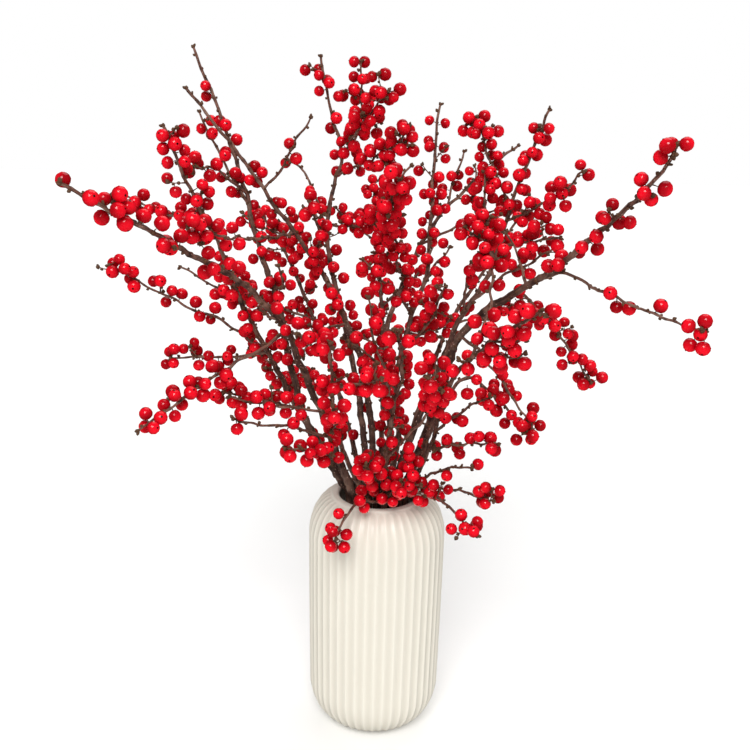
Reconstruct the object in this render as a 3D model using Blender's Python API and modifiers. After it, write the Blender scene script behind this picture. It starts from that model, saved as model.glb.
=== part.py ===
"""Winterberry branches standing in a fluted ceramic vase.

Bare brown branches with round red berries fan out of the narrow mouth of a tall ivory vase.
Blender units are metres, +Z is up, and the origin is the centre of the vase's foot.
The driving dimensions below are centimetres, and CM turns them into metres.
Every branch is one body: a stem that stands on the vase's floor, its side twigs and its berries.
"""

import math
import random

import bmesh
import bpy
from mathutils import Vector
from mathutils.kdtree import KDTree

CM = 0.01
OBJECT_NAME = "winterberry_vase"

# Vase
VASE_HEIGHT = 20.9
BELLY_RADIUS = 5.7
WAIST_RADIUS = 5.57
FOOT_RADIUS = 2.8
CORNER_HEIGHT = 3.7
SHOULDER_HEIGHT = 3.6
SHOULDER_TOP_RADIUS = 3.4
MOUTH_RADIUS = 3.2
WALL = 0.5
FLOOR_HEIGHT = 0.7
FLUTES = 44
FLUTE_DEPTH = 0.13
FLUTE_END_RADIUS = 3.8
FLUTE_FADE = 0.8

# Stems in the vase: an outer ring and an inner ring, each twisted between the floor and the mouth
OUTER_RING = {"mouth": 2.45, "foot": 2.0, "twist": 70}
INNER_RING = {"mouth": 1.15, "foot": 0.9, "twist": 60}
SEAT_GAP = 0.03
STRAIGHT_END = 1.2

# Wood and berries
STEM_TIP_RADIUS = 0.13
TWIG_ROOT_RADIUS = 0.16
TWIG_TIP_RADIUS = 0.1
BERRY_RADII = (0.44, 0.53)
ROUTE_STEP = 1.0
TUBE_EVERY = 3
STEM_BEVEL_RESOLUTION = 1
TWIG_BEVEL_RESOLUTION = 0
STEM_WANDER = 0.08
TWIG_WANDER = 0.12
NODE_GAP = 0.1
NEARBY = 1.2
BEND_ROUNDS = 40
BERRY_REACH = 0.8
CLUMP_PER_BERRY = 12
GOLDEN_ANGLE = 137.5

# Each branch: where its stem crosses the mouth, its thickness at the base, the points it passes
# on its way to the tip, its crop and its twigs.
# Each twig: the stem point it leaves from (0 is the mouth, 1 the first route point, and so on),
# the points it passes, and its crop.
# A crop is a list of clumps: the shares of the length above the mouth, or of the twig, between
# which the clump hangs, and how many berries it has on the plant.
BRANCHES = {
    "branch_far_left": {
        "ring": OUTER_RING, "angle": 218, "diameter": 0.66,
        "route": [(-4, -3, 27.5), (-6.2, -5, 33.7), (-7, -6.5, 36.4), (-9.5, -10, 40.4),
                  (-13, -16, 44.2), (-16.5, -21, 47.5), (-18, -22.5, 48.7)],
        "crop": [(0.5, 0.7, 6), (0.76, 0.81, 5), (0.82, 0.87, 3), (0.88, 0.93, 8),
                 (0.94, 0.96, 1), (0.97, 1, 1)],
        "twigs": [
            (3, [(-10.1, -9, 34.7), (-13.2, -12, 33.2), (-15.8, -16.5, 32)],
             [(0.38, 0.47, 4), (0.52, 0.6, 4), (0.66, 0.76, 7), (0.84, 0.92, 4)]),
            (3, [(-5.5, -9, 36.5), (-3.5, -9, 36)], [(0.3, 1, 8)]),
            (3.2, [(-8.8, -3.5, 36.9), (-11.3, 1, 36.9), (-16.6, 4, 38.7)],
             [(0.5, 0.62, 3), (0.68, 0.74, 2), (0.8, 0.86, 1)]),
        ],
    },
    "branch_left": {
        "ring": OUTER_RING, "angle": 185, "diameter": 0.64,
        "route": [(-5.5, -1, 26.5), (-7, -1, 31.5), (-8.2, -1, 37.3), (-9.8, 1, 41),
                  (-11.3, 4, 45.5), (-12.8, 6, 49), (-14, 7, 52), (-15.8, 8, 56)],
        "crop": [(0.28, 0.36, 5), (0.4, 0.48, 4), (0.5, 0.58, 5), (0.6, 0.68, 5), (0.7, 0.74, 2),
                 (0.79, 0.81, 1), (0.84, 0.87, 2), (0.9, 0.935, 2)],
        "twigs": [
            (1.4, [(-9.5, -3.5, 30), (-12, -5, 31)], [(0.25, 0.5, 6), (0.7, 1, 9)]),
            (4.7, [(-12.4, 4, 46.4), (-14, 5, 49.2), (-15, 5.2, 51)],
             [(0.5, 0.6, 2), (0.76, 0.9, 4)]),
            (4.9, [(-13, 2, 46.8), (-14.2, -0.5, 47.3)], [(0.15, 0.35, 3), (0.6, 1, 6)]),
            (3.2, [(-7.5, -4, 39), (-7.5, -6, 41)], [(0.1, 0.5, 3)]),
        ],
    },
    "branch_left_back": {
        "ring": INNER_RING, "angle": 228, "diameter": 0.6,
        "route": [(-0.6, 0.6, 25), (-1.5, 2.5, 31), (-4, 3, 37), (-6.5, 3, 41), (-9, 3, 44.5),
                  (-11.5, 3, 48), (-15.5, 3, 53)],
        "crop": [(0.38, 0.48, 5), (0.52, 0.6, 5), (0.68, 0.73, 4), (0.75, 0.8, 4)],
        "twigs": [
            (5.2, [(-8, 2.5, 47.3), (-6.7, 0, 49.5), (-5.5, -1, 51.2)], [(0.45, 0.62, 2)]),
            (4.2, [(-8, 0, 42.2), (-9.2, -4.5, 42.7), (-10.6, -9, 43.6), (-12.4, -14.5, 45.2)],
             [(0.58, 0.72, 2), (0.8, 1, 13)]),
            (3, [(-6, 6, 39.5), (-9.5, 9, 41)], [(0.15, 0.5, 6), (0.55, 1, 12)]),
            (3.6, [(-5, 0, 42), (-5.5, -2, 45)], [(0.15, 0.5, 4), (0.6, 1, 6)]),
            (2.5, [(-5.5, 0.5, 34), (-6, -2, 33)], [(0.3, 1, 11)]),
        ],
    },
    "branch_left_rear": {
        "ring": OUTER_RING, "angle": 152, "diameter": 0.58,
        "route": [(-6, 2, 26), (-7.6, 0.8, 29.5), (-9, 0, 32.8), (-11, -2, 37.7),
                  (-12.5, -3.5, 42.6), (-14, -4.5, 46), (-15.8, -4.5, 50.7)],
        "crop": [(0.08, 0.18, 5), (0.22, 0.32, 6), (0.36, 0.46, 6), (0.5, 0.58, 7),
                 (0.6, 0.68, 8), (0.7, 0.78, 8), (0.79, 0.86, 9), (0.87, 0.92, 6), (0.92, 0.98, 7)],
        "twigs": [
            (3, [(-12.7, 1.5, 31.9), (-16.9, 0, 32.1)], [(0.45, 0.77, 10), (0.92, 1, 4)]),
            (3, [(-12, 1.5, 34.3), (-14.6, 1, 35.8), (-18.2, -0.5, 38), (-21, -2, 40)],
             [(0.14, 0.2, 2), (0.4, 0.5, 4), (0.58, 0.68, 6), (0.79, 0.86, 3), (0.92, 1, 5)]),
            (5, [(-15, -2, 43.6), (-18, 0.5, 44), (-20.6, 2, 45)],
             [(0.1, 0.36, 4), (0.46, 0.6, 3), (0.68, 0.86, 4)]),
            (2.4, [(-11.5, 5, 35), (-14, 9, 38)], [(0.1, 0.4, 5), (0.5, 1, 8)]),
            (1.5, [(-9, 7.5, 29), (-12, 10.5, 30)], [(0.35, 1, 14)]),
        ],
    },
    "branch_front_left": {
        "ring": OUTER_RING, "angle": 251, "diameter": 0.5,
        "route": [(-2.5, -4, 25.5), (-3.5, -6.5, 30), (-3.5, -9.5, 33), (-3.5, -12, 37)],
        "crop": [(0.3, 0.5, 4), (0.7, 0.84, 5), (0.88, 1, 4)],
        "twigs": [
            (2, [(-8.5, -6, 30.5), (-11, -7.5, 31.5)], [(0.2, 0.4, 3), (0.55, 1, 8)]),
            (1.3, [(-6.6, -8, 29.4), (-8.6, -10, 30.3), (-10.2, -12, 31.4)],
             [(0.42, 0.5, 2), (0.92, 1, 2)]),
            (1, [(-4, -8, 27.5), (-5.5, -11, 29)], [(0.45, 1, 16)]),
            (2.1, [(-3, -10.5, 31), (-3.2, -12.5, 32.6)], [(0.2, 1, 10)]),
            (3, [(-1, -11.5, 34), (0, -13.5, 35)], [(0.2, 1, 11)]),
        ],
    },
    "branch_front": {
        "ring": OUTER_RING, "angle": 283, "diameter": 0.5,
        "route": [(0.5, -4.3, 25.5), (1, -6, 30.5), (1.5, -9, 34), (1, -12, 38)],
        "crop": [(0.1, 0.4, 6), (0.45, 0.6, 4), (0.65, 0.8, 6), (0.85, 1, 5)],
        "twigs": [
            (0.1, [(-1.3, -4.6, 22.1), (-2.8, -6.6, 21.2), (-3.2, -7.2, 19.8)],
             [(0.3, 0.5, 3), (0.68, 1, 10)]),
            (0.25, [(1.4, -4.6, 23.2), (3.2, -5.2, 23.9)], [(0.15, 1, 24)]),
            (1, [(3, -6.5, 29.5), (4, -9, 32.5)], [(0.25, 0.4, 2), (0.8, 1, 4)]),
            (0.6, [(-0.5, -6, 25), (-1, -8, 26.5)], [(0.2, 1, 13)]),
            (2.4, [(-0.5, -8, 36), (-1, -9, 39.5)],
             [(0.1, 0.3, 4), (0.4, 0.6, 4), (0.7, 0.8, 2), (0.94, 1, 1)]),
        ],
    },
    "branch_right_front": {
        "ring": OUTER_RING, "angle": 316, "diameter": 0.56,
        "route": [(3.5, -4, 26.5), (4.2, -7, 30.5), (4.9, -11, 34.3), (6.1, -15, 37.4),
                  (7.5, -18, 39.7), (9.2, -20, 41.5)],
        "crop": [(0.48, 0.6, 4), (0.64, 0.76, 5), (0.8, 0.9, 9), (0.92, 1, 7)],
        "twigs": [
            (4, [(7.5, -16.5, 37.6), (9, -17, 38)], [(0.2, 1, 7)]),
            (4.5, [(8.8, -17.5, 39)], [(0.2, 1, 6)]),
            (3.7, [(7, -13, 40), (7.3, -10.5, 42.3), (6.7, -8, 44.6)],
             [(0.25, 0.4, 2), (0.48, 0.6, 2), (0.66, 0.82, 11), (0.84, 1, 16)]),
            (2.3, [(3.8, -11.5, 34), (2.9, -13.5, 35.3)], [(0.2, 1, 12)]),
        ],
    },
    "branch_right_low": {
        "ring": OUTER_RING, "angle": 349, "diameter": 0.5,
        "route": [(4, -2, 25.5), (4.8, -3, 29), (6, -3.3, 31.7), (7, -3, 32), (8.7, -3, 30.6),
                  (10.4, -4, 29.2)],
        "crop": [(0.25, 0.35, 2), (0.5, 0.6, 2), (0.72, 0.78, 2), (0.85, 0.95, 9), (0.96, 1, 2)],
        "twigs": [
            (0.1, [(5, -5, 22.4), (7.3, -9.8, 21.8)],
             [(0.1, 0.16, 1), (0.28, 0.52, 7), (0.78, 1, 7)]),
            (0.2, [(5.5, -4.2, 23.1), (8.7, -7.5, 23.7)], [(0.04, 0.15, 2), (0.84, 1, 8)]),
            (0.4, [(5.3, -5, 25.2), (7, -8, 26.5)], [(0.54, 0.6, 1), (0.96, 1, 1)]),
            (1, [(6.2, -5, 27.3), (8.9, -7.5, 28.3)],
             [(0.22, 0.5, 6), (0.6, 0.64, 1), (0.78, 0.92, 4)]),
            (1.5, [(6.8, -4.8, 30.2), (8, -6.8, 31.6)], [(0.28, 0.46, 3), (0.88, 1, 3)]),
        ],
    },
    "branch_far_right": {
        "ring": OUTER_RING, "angle": 21, "diameter": 0.8,
        "route": [(4.1, -1, 27.7), (5.1, -1.5, 32.1), (6.1, -2, 35.1), (8.2, -3, 37.6),
                  (11.7, -6, 40.8), (14.2, -10.5, 44.6), (16.1, -15.5, 48.5), (16.8, -18, 51)],
        "crop": [(0.6, 0.66, 4), (0.68, 0.72, 2), (0.74, 0.81, 7), (0.87, 0.91, 5), (0.96, 1, 5)],
        "twigs": [
            (4.9, [(12.9, -6.2, 41), (14.7, -7, 40.4), (16.9, -9, 39.7), (21, -14.5, 39)],
             [(0.4, 0.46, 2), (0.5, 0.54, 1), (0.66, 0.7, 1), (0.95, 1, 6)]),
            (4.6, [(10.2, -2.5, 41.4), (9.2, -1.5, 43)], [(0.3, 0.8, 1)]),
            (4.3, [(10.5, -2.5, 38.6), (12, -2, 37.3), (15, -0.5, 33.7), (17, 0, 30.8)],
             [(0.04, 0.12, 2), (0.28, 0.42, 4), (0.45, 0.66, 8), (0.68, 0.88, 7), (0.9, 1, 6)]),
            (2.9, [(7.6, -3, 34), (8.9, -4, 32.6), (11.7, -6, 28.9)],
             [(0.44, 0.5, 1), (0.58, 0.66, 2), (0.82, 0.97, 12)]),
        ],
    },
    "branch_right_tall": {
        "ring": INNER_RING, "angle": 12, "diameter": 0.62,
        "route": [(3, 0.9, 26.5), (4.5, 1.8, 30.5), (6.3, 2.6, 35), (8.5, 2.6, 39),
                  (9.7, 2.6, 43.3), (10.5, 2, 46.5), (12.4, 2, 52)],
        "crop": [(0.3, 0.45, 4), (0.5, 0.6, 2), (0.66, 0.72, 3), (0.74, 0.78, 3), (0.8, 0.85, 4),
                 (0.86, 0.9, 4), (0.91, 0.96, 5)],
        "twigs": [
            (5.1, [(12.5, 0, 45.3), (14.5, -3, 48)],
             [(0.15, 0.5, 8), (0.56, 0.72, 7), (0.9, 0.98, 2)]),
            (4.6, [(13.3, -2, 42.8)], [(0.35, 0.75, 8), (0.88, 1, 2)]),
            (5.5, [(8.2, 5, 48.3), (7.3, 6.5, 51.2)], [(0.2, 0.52, 12), (0.6, 0.94, 17)]),
            (3.3, [(6.5, 0, 38.5), (6.5, -3, 41)], [(0.75, 1, 3)]),
            (4.2, [(8, 2.5, 44.5), (8, 3.5, 47)], [(0.3, 1, 10)]),
            (3.4, [(9.5, 1.5, 38.9), (11.7, 0.5, 40.5), (13.3, -1, 42)], [(0.4, 0.96, 8)]),
        ],
    },
    "branch_diagonal": {
        "ring": INNER_RING, "angle": 84, "diameter": 0.6,
        "route": [(0.9, 2.8, 25), (0.6, 5, 29), (0.5, 7, 33), (1.5, 8, 36), (3.2, 9.3, 40),
                  (6.3, 11, 44), (11.5, 12, 48.5)],
        "crop": [(0.05, 0.2, 5), (0.4, 0.6, 2), (0.8, 0.9, 1)],
        "twigs": [
            (5.8, [(6.8, 12.5, 47.7)], [(0.2, 0.7, 4)]),
            (4.4, [(1.3, 6, 38.5), (1.1, 2.5, 41.2), (0.5, -2, 44.3), (0.7, -6, 46.7),
                   (1.6, -8, 48.5)],
             [(0.02, 0.2, 6), (0.2, 0.4, 10), (0.4, 0.6, 11), (0.6, 0.78, 10), (0.78, 0.93, 10)]),
            (5, [(7.5, 8.5, 42.5), (10, 8, 43.5)], [(0.4, 1, 6)]),
            (3, [(4, 6, 33), (6, 7, 34)], [(0.4, 1, 11)]),
            (2.4, [(-1.5, 8.5, 32), (-4, 10, 33)], [(0.3, 0.95, 9)]),
        ],
    },
    "branch_spike": {
        "ring": INNER_RING, "angle": 300, "diameter": 0.56,
        "route": [(1.6, -1, 26), (1.3, 0.5, 31), (2.5, 3, 35.4), (3.7, 5.5, 38.6), (4, 8.5, 42.8),
                  (4.2, 11, 47), (4.6, 13, 51.7)],
        "crop": [(0.15, 0.3, 4), (0.35, 0.5, 5), (0.55, 0.66, 6), (0.67, 0.74, 6),
                 (0.75, 0.83, 7), (0.84, 0.91, 5), (0.93, 0.96, 2)],
        "twigs": [
            (2.5, [(3.5, -1, 35.5), (4.5, -5, 39.5)], [(0.3, 1, 16)]),
            (3, [(0.8, 0, 38), (-1.5, -3, 41)], [(0.15, 0.45, 4), (0.6, 1, 7)]),
            (1.8, [(-0.5, -2.5, 33), (-2.5, -4, 35)], [(0.4, 1, 10)]),
            (3.8, [(5.3, 3.5, 41)], [(0.3, 1, 4)]),
        ],
    },
    "branch_centre_back": {
        "ring": INNER_RING, "angle": 156, "diameter": 0.62,
        "route": [(-1.3, 2.4, 25), (-2, 4.5, 29), (-3, 5.5, 33.5), (-4.3, 6.3, 38.4),
                  (-4.7, 7, 42), (-4.3, 8, 45), (-3.6, 9, 47.6), (-4.6, 9, 51), (-5.5, 9, 55.4)],
        "crop": [(0.03, 0.14, 4), (0.18, 0.3, 5), (0.35, 0.46, 5), (0.5, 0.62, 6),
                 (0.74, 0.82, 3), (0.86, 0.89, 2), (0.93, 0.965, 7)],
        "twigs": [
            (7, [(-2.3, 9.8, 49.5), (-2.1, 11, 55)],
             [(0.15, 0.46, 9), (0.5, 0.72, 10), (0.74, 0.84, 3), (0.96, 1, 2)]),
            (6.5, [(-2.2, 6, 47), (-0.8, 3, 48), (0.9, 0.5, 49.3), (1.7, -0.5, 50.8)],
             [(0.15, 0.3, 3), (0.38, 0.58, 8), (0.6, 0.84, 13), (0.86, 0.96, 6)]),
            (4.8, [(-6.5, 10, 45.5), (-8.5, 12, 47)], [(0.25, 0.5, 3), (0.94, 1, 1)]),
            (4.5, [(-6.2, 7, 44)], [(0.4, 1, 3)]),
            (7.1, [(-2.7, 6, 49.1), (-1.5, 3.5, 51), (0, 1.5, 53)],
             [(0.15, 0.45, 7), (0.5, 0.78, 12), (0.8, 1, 11)]),
            (5, [(-2.6, 4.5, 42.3), (-1.3, 2, 43.2), (-0.3, 0, 44.4)], [(0.25, 1, 18)]),
        ],
    },
    "branch_back_right": {
        "ring": OUTER_RING, "angle": 54, "diameter": 0.54,
        "route": [(3.5, 5, 27), (6, 9.5, 33), (10, 14, 38), (13, 18, 42)],
        "crop": [(0.2, 0.4, 4), (0.45, 0.6, 3), (0.66, 0.82, 3), (0.86, 1, 5)],
        "twigs": [
            (2, [(10, 11, 33.5), (13, 12, 35)], [(0.4, 1, 8)]),
            (3, [(8.5, 17, 42), (8.5, 19, 46)], [(0.4, 1, 10)]),
            (3.3, [(14.8, 14, 41.2)], [(0.3, 1, 6)]),
            (1.3, [(4.5, 9.5, 27.5), (5, 13, 28)], [(0.3, 1, 8)]),
        ],
    },
    "branch_back": {
        "ring": OUTER_RING, "angle": 87, "diameter": 0.54,
        "route": [(0.3, 5.5, 27), (0, 11.5, 34), (-0.5, 16, 39), (-1, 19.5, 44)],
        "crop": [(0.05, 0.2, 6), (0.25, 0.38, 7), (0.4, 0.52, 6), (0.55, 0.68, 7), (0.7, 0.8, 10),
                 (0.8, 0.9, 11), (0.9, 1, 9)],
        "twigs": [
            (2, [(3.5, 13, 37), (5, 15.5, 40)], [(0.3, 0.8, 7)]),
            (3, [(-4.5, 16.5, 42)], [(0.3, 1, 5)]),
            (1.4, [(-1, 11, 28), (-1.5, 15, 29)], [(0.2, 1, 8)]),
        ],
    },
    "branch_back_left": {
        "ring": OUTER_RING, "angle": 120, "diameter": 0.54,
        "route": [(-3.3, 5, 27), (-6, 10, 33), (-9, 15, 38), (-12, 18, 42)],
        "crop": [(0.3, 0.45, 7), (0.5, 0.62, 9), (0.68, 0.82, 8), (0.86, 1, 6)],
        "twigs": [
            (2, [(-10.5, 10.5, 34.5), (-13, 12, 36)], [(0.1, 0.4, 5), (0.5, 1, 11)]),
            (3, [(-7.5, 17, 42)], [(0.3, 1, 5)]),
            (3.2, [(-12.5, 14, 41)], [(0.4, 1, 6)]),
            (1.3, [(-5.5, 9.5, 27), (-7, 13, 27)], [(0.4, 1, 9)]),
        ],
    },
}

# Colours as linear RGB
IVORY_GLAZE = (0.79, 0.76, 0.68)
BARK_BROWN = (0.12, 0.07, 0.045)


def arc(centre, reach, first, last, count):
    """(radius, height) points on a quarter ellipse round centre, from angle first to last."""
    points = []
    for index in range(count + 1):
        angle = math.radians(first + (last - first) * index / count)
        points.append((
            centre[0] + reach[0] * math.cos(angle),
            centre[1] + reach[1] * math.sin(angle),
        ))
    return points


def outer_profile():
    """The vase's outer side from the lip to the centre of its foot."""
    shoulder = arc(
        (SHOULDER_TOP_RADIUS, VASE_HEIGHT - SHOULDER_HEIGHT),
        (BELLY_RADIUS - SHOULDER_TOP_RADIUS, SHOULDER_HEIGHT), 80, 0, 3,
    )
    corner = arc(
        (FOOT_RADIUS, CORNER_HEIGHT),
        (WAIST_RADIUS - FOOT_RADIUS, CORNER_HEIGHT), 0, -90, 4,
    )
    return shoulder + corner + [(0, 0)]


def inner_profile():
    """The hollow's side from the centre of the floor up to the lip."""
    corner = arc(
        (FOOT_RADIUS - 0.3, CORNER_HEIGHT),
        (WAIST_RADIUS - WALL - FOOT_RADIUS + 0.3, CORNER_HEIGHT - FLOOR_HEIGHT), -90, 0, 2,
    )
    shoulder = arc(
        (SHOULDER_TOP_RADIUS, VASE_HEIGHT - SHOULDER_HEIGHT),
        (BELLY_RADIUS - SHOULDER_TOP_RADIUS - WALL, SHOULDER_HEIGHT - WALL), 0, 75, 1,
    )
    lip = [(MOUTH_RADIUS, VASE_HEIGHT - 0.3), (SHOULDER_TOP_RADIUS - 0.05, VASE_HEIGHT)]
    return [(0, FLOOR_HEIGHT)] + corner + shoulder + lip


def vase_radius(height):
    """Outer radius of the vase at a height, 0 above the lip and below the foot."""
    sides = outer_profile()
    for (upper_r, upper_z), (lower_r, lower_z) in zip(sides, sides[1:]):
        if lower_z <= height <= upper_z and upper_z > lower_z:
            return lower_r + (upper_r - lower_r) * (height - lower_z) / (upper_z - lower_z)
    return 0.0


def cut_flutes(mesh):
    """Draws every second column of the outer side inwards, less where the radius is small."""
    for vertex in mesh.vertices:
        x, y, z = vertex.co / CM
        radius = math.hypot(x, y)
        if abs(radius - vase_radius(z)) > 0.01:
            continue
        column = round(math.atan2(y, x) / math.tau * FLUTES * 2)
        fade = min(1.0, max(0.0, (radius - FLUTE_END_RADIUS) / FLUTE_FADE))
        if column % 2:
            narrowed = (radius - FLUTE_DEPTH * fade) / radius
            vertex.co.x *= narrowed
            vertex.co.y *= narrowed


def material(name, colour, roughness):
    made = bpy.data.materials.new(name)
    made.use_nodes = True
    shader = made.node_tree.nodes["Principled BSDF"]
    shader.inputs["Base Color"].default_value = (*colour, 1)
    shader.inputs["Roughness"].default_value = roughness
    shader.inputs["Metallic"].default_value = 0
    return made


def mesh_from(obj):
    """A new mesh of the object as it is evaluated, with its loose caps welded."""
    graph = bpy.context.evaluated_depsgraph_get()
    mesh = bpy.data.meshes.new_from_object(obj.evaluated_get(graph))
    work = bmesh.new()
    work.from_mesh(mesh)
    bmesh.ops.remove_doubles(work, verts=work.verts, dist=0.00001)
    bmesh.ops.recalc_face_normals(work, faces=work.faces)
    work.to_mesh(mesh)
    work.free()
    return mesh


def add_vase(collection):
    profile = inner_profile() + outer_profile()
    outline = bpy.data.meshes.new("vase_outline")
    points = [(radius * CM, 0, height * CM) for radius, height in profile]
    edges = [(index, index + 1) for index in range(len(points) - 1)]
    outline.from_pydata(points, edges, [])
    turned = bpy.data.objects.new("vase_outline", outline)
    collection.objects.link(turned)
    screw = turned.modifiers.new("turn", "SCREW")
    screw.steps = FLUTES * 2
    screw.render_steps = FLUTES * 2
    screw.use_merge_vertices = True
    screw.merge_threshold = 0.0001
    vase = bpy.data.objects.new("vase", mesh_from(turned))
    bpy.data.objects.remove(turned)
    bpy.data.meshes.remove(outline)
    cut_flutes(vase.data)
    vase.data.shade_smooth()
    vase.data.set_sharp_from_angle(angle=math.radians(50))
    vase.data.materials.append(material("ivory_glaze", IVORY_GLAZE, 0.35))
    collection.objects.link(vase)
    return vase


class Strand:
    """A stem or a twig: its points, the radius at each, and the clumps of its crop."""

    def __init__(self, branch, points, radii, crop):
        self.branch = branch
        self.points = points
        self.radii = radii
        self.crop = crop
        self.inside = 0
        self.forks = set()


def spline_point(points, place):
    """The point on a smooth curve through the points, where place 2.5 is halfway from 2 to 3."""
    last = len(points) - 1
    index = min(int(place), last - 1)
    share = place - index
    a, b, c, d = (points[min(max(index + offset, 0), last)] for offset in (-1, 0, 1, 2))
    square = share * share
    cube = square * share
    return (
        b * 2
        + (c - a) * share
        + (a * 2 - b * 5 + c * 4 - d) * square
        + (b * 3 - a - c * 3 + d) * cube
    ) / 2


def along(points, step):
    """Points at about the given step along the smooth curve, with the place of each."""
    found = []
    for index in range(len(points) - 1):
        pieces = max(1, round((points[index + 1] - points[index]).length / step))
        for piece in range(pieces):
            place = index + piece / pieces
            found.append((spline_point(points, place), place))
    found.append((points[-1].copy(), len(points) - 1))
    return found


def ring_point(radius, degrees, height):
    angle = math.radians(degrees)
    return Vector((radius * math.cos(angle), radius * math.sin(angle), height))


def wander(points, amount, rng, fixed):
    """Shifts each point past the fixed ones a little, as wood does from bud to bud."""
    for point in points[fixed:]:
        point += Vector([rng.uniform(-amount, amount) for _ in range(3)])


def stem_of(name, spec, rng):
    """The stem from its straight end on the vase's floor through the mouth to its tip."""
    ring = spec["ring"]
    foot = ring_point(ring["foot"], spec["angle"] + ring["twist"], FLOOR_HEIGHT + SEAT_GAP)
    mouth = ring_point(ring["mouth"], spec["angle"], VASE_HEIGHT)
    knee = foot + Vector((0, 0, STRAIGHT_END))
    inside = [foot, knee] + [knee.lerp(mouth, share / 6) for share in range(1, 6)]
    outside = along([mouth] + [Vector(point) for point in spec["route"]], ROUTE_STEP)
    points = inside + [point for point, _ in outside]
    wander(points, STEM_WANDER, rng, len(inside) + 3)
    places = [-1.0] * len(inside) + [place for _, place in outside]
    base = spec["diameter"] / 2
    count = len(points) - 1
    radii = [base + (STEM_TIP_RADIUS - base) * (index / count) ** 1.4 for index in range(count + 1)]
    stem = Strand(name, points, radii, spec["crop"])
    stem.places = places
    stem.inside = len(inside)
    return stem


def twig_of(stem, spec, rng):
    """A twig that leaves the stem's axis at a place on it and goes through its own points."""
    place, route, crop = spec
    index = min(range(len(stem.points)), key=lambda i: abs(stem.places[i] - place))
    stem.forks.add(index)
    root = stem.points[index]
    points = [point for point, _ in along([root] + [Vector(point) for point in route], ROUTE_STEP)]
    points[0] = root.copy()
    wander(points, TWIG_WANDER, rng, 2)
    count = len(points) - 1
    thick = min(TWIG_ROOT_RADIUS, stem.radii[index] * 0.8)
    radii = [thick + (TWIG_TIP_RADIUS - thick) * index / count for index in range(count + 1)]
    return Strand(stem.branch, points, radii, crop)


def tree_of(strands):
    """A search tree over every point of the strands, and what each point belongs to."""
    owners = [(strand, index) for strand in strands for index in range(len(strand.points))]
    tree = KDTree(len(owners))
    for number, (strand, index) in enumerate(owners):
        tree.insert(strand.points[index], number)
    tree.balance()
    return tree, owners


def bend_stems_clear(stems):
    """Moves stems apart above the vase wherever two of them come too near each other."""
    for _ in range(BEND_ROUNDS):
        tree, owners = tree_of(stems)
        for stem in stems:
            for index in range(stem.inside + 1, len(stem.points)):
                point = stem.points[index]
                for near, number, distance in tree.find_range(point, NEARBY):
                    other, place = owners[number]
                    wanted = stem.radii[index] + other.radii[place] + 2 * NODE_GAP
                    if other is not stem and 0 < distance < wanted:
                        point += (point - near) / distance * (wanted - distance) * 0.4


def bend_twig_clear(twig, strands):
    """Moves a twig away from other branches, and ends it where it would still touch one."""
    others = [strand for strand in strands if strand.branch != twig.branch]
    tree, owners = tree_of(others)

    def depth(index, near):
        other, place = owners[near[1]]
        return twig.radii[index] + other.radii[place] + 2 * NODE_GAP - near[2]

    for _ in range(BEND_ROUNDS):
        for index in range(1, len(twig.points)):
            point = twig.points[index]
            for near in tree.find_range(point, NEARBY):
                if depth(index, near) > 0 and near[2] > 0:
                    point += (point - near[0]) / near[2] * depth(index, near) * 0.5
    for index in range(1, len(twig.points)):
        if any(depth(index, near) > NODE_GAP for near in tree.find_range(twig.points[index], NEARBY)):
            del twig.points[index:]
            del twig.radii[index:]
            break


def grow_strands():
    """Every stem first, bent clear of its neighbours, and then the twigs one by one."""
    rng = random.Random(7)
    stems = {name: stem_of(name, spec, rng) for name, spec in BRANCHES.items()}
    bend_stems_clear(list(stems.values()))
    strands = list(stems.values())
    for name, spec in BRANCHES.items():
        for twig_spec in spec["twigs"]:
            twig = twig_of(stems[name], twig_spec, rng)
            bend_twig_clear(twig, strands)
            if len(twig.points) > 2:
                strands.append(twig)
    return strands


class Berry:
    """One berry: its centre and radius, the branch it grows on, and its way out from the wood."""

    def __init__(self, branch, centre, radius, outward):
        self.branch = branch
        self.centre = centre
        self.radius = radius
        self.outward = outward


def finer(strand, step):
    """(point, radius, direction, share of the length) at a fine step along a strand."""
    spots = along(strand.points, step)
    count = len(strand.points) - 1
    found = []
    for index, (point, place) in enumerate(spots):
        ahead = spots[min(index + 1, len(spots) - 1)][0]
        behind = spots[max(index - 1, 0)][0]
        lower = min(int(place), count)
        radius = strand.radii[lower]
        found.append((point, radius, (ahead - behind).normalized(), place / count))
    return found


class Crowd:
    """The wood and the berries placed so far, asked whether one more berry has room."""

    def __init__(self, strands):
        self.wood = [
            (spot[0], spot[1], strand) for strand in strands for spot in finer(strand, 0.35)
        ]
        self.tree = KDTree(len(self.wood))
        for number, (point, _, _) in enumerate(self.wood):
            self.tree.insert(point, number)
        self.tree.balance()
        self.berries = []

    def has_room(self, centre, radius, strand):
        beside_vase = centre.z < VASE_HEIGHT + radius + NODE_GAP
        if beside_vase and math.hypot(centre.x, centre.y) < BELLY_RADIUS + radius + NODE_GAP:
            return False
        for _, number, distance in self.tree.find_range(centre, NEARBY):
            _, wood_radius, owner = self.wood[number]
            same = owner.branch == strand.branch
            room = wood_radius + radius * (0.7 if same else 1) + (0 if same else NODE_GAP)
            if owner is not strand and distance < room:
                return False
        for berry in self.berries:
            same = berry.branch == strand.branch
            room = (berry.radius + radius) * (0.95 if same else 1) + (0 if same else NODE_GAP)
            if (berry.centre - centre).length < room:
                return False
        return True


def around(direction, degrees):
    """A unit vector square to the direction, turned round it by the degrees."""
    side = direction.orthogonal().normalized()
    turn = math.radians(degrees)
    return side * math.cos(turn) + direction.cross(side) * math.sin(turn)


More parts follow.
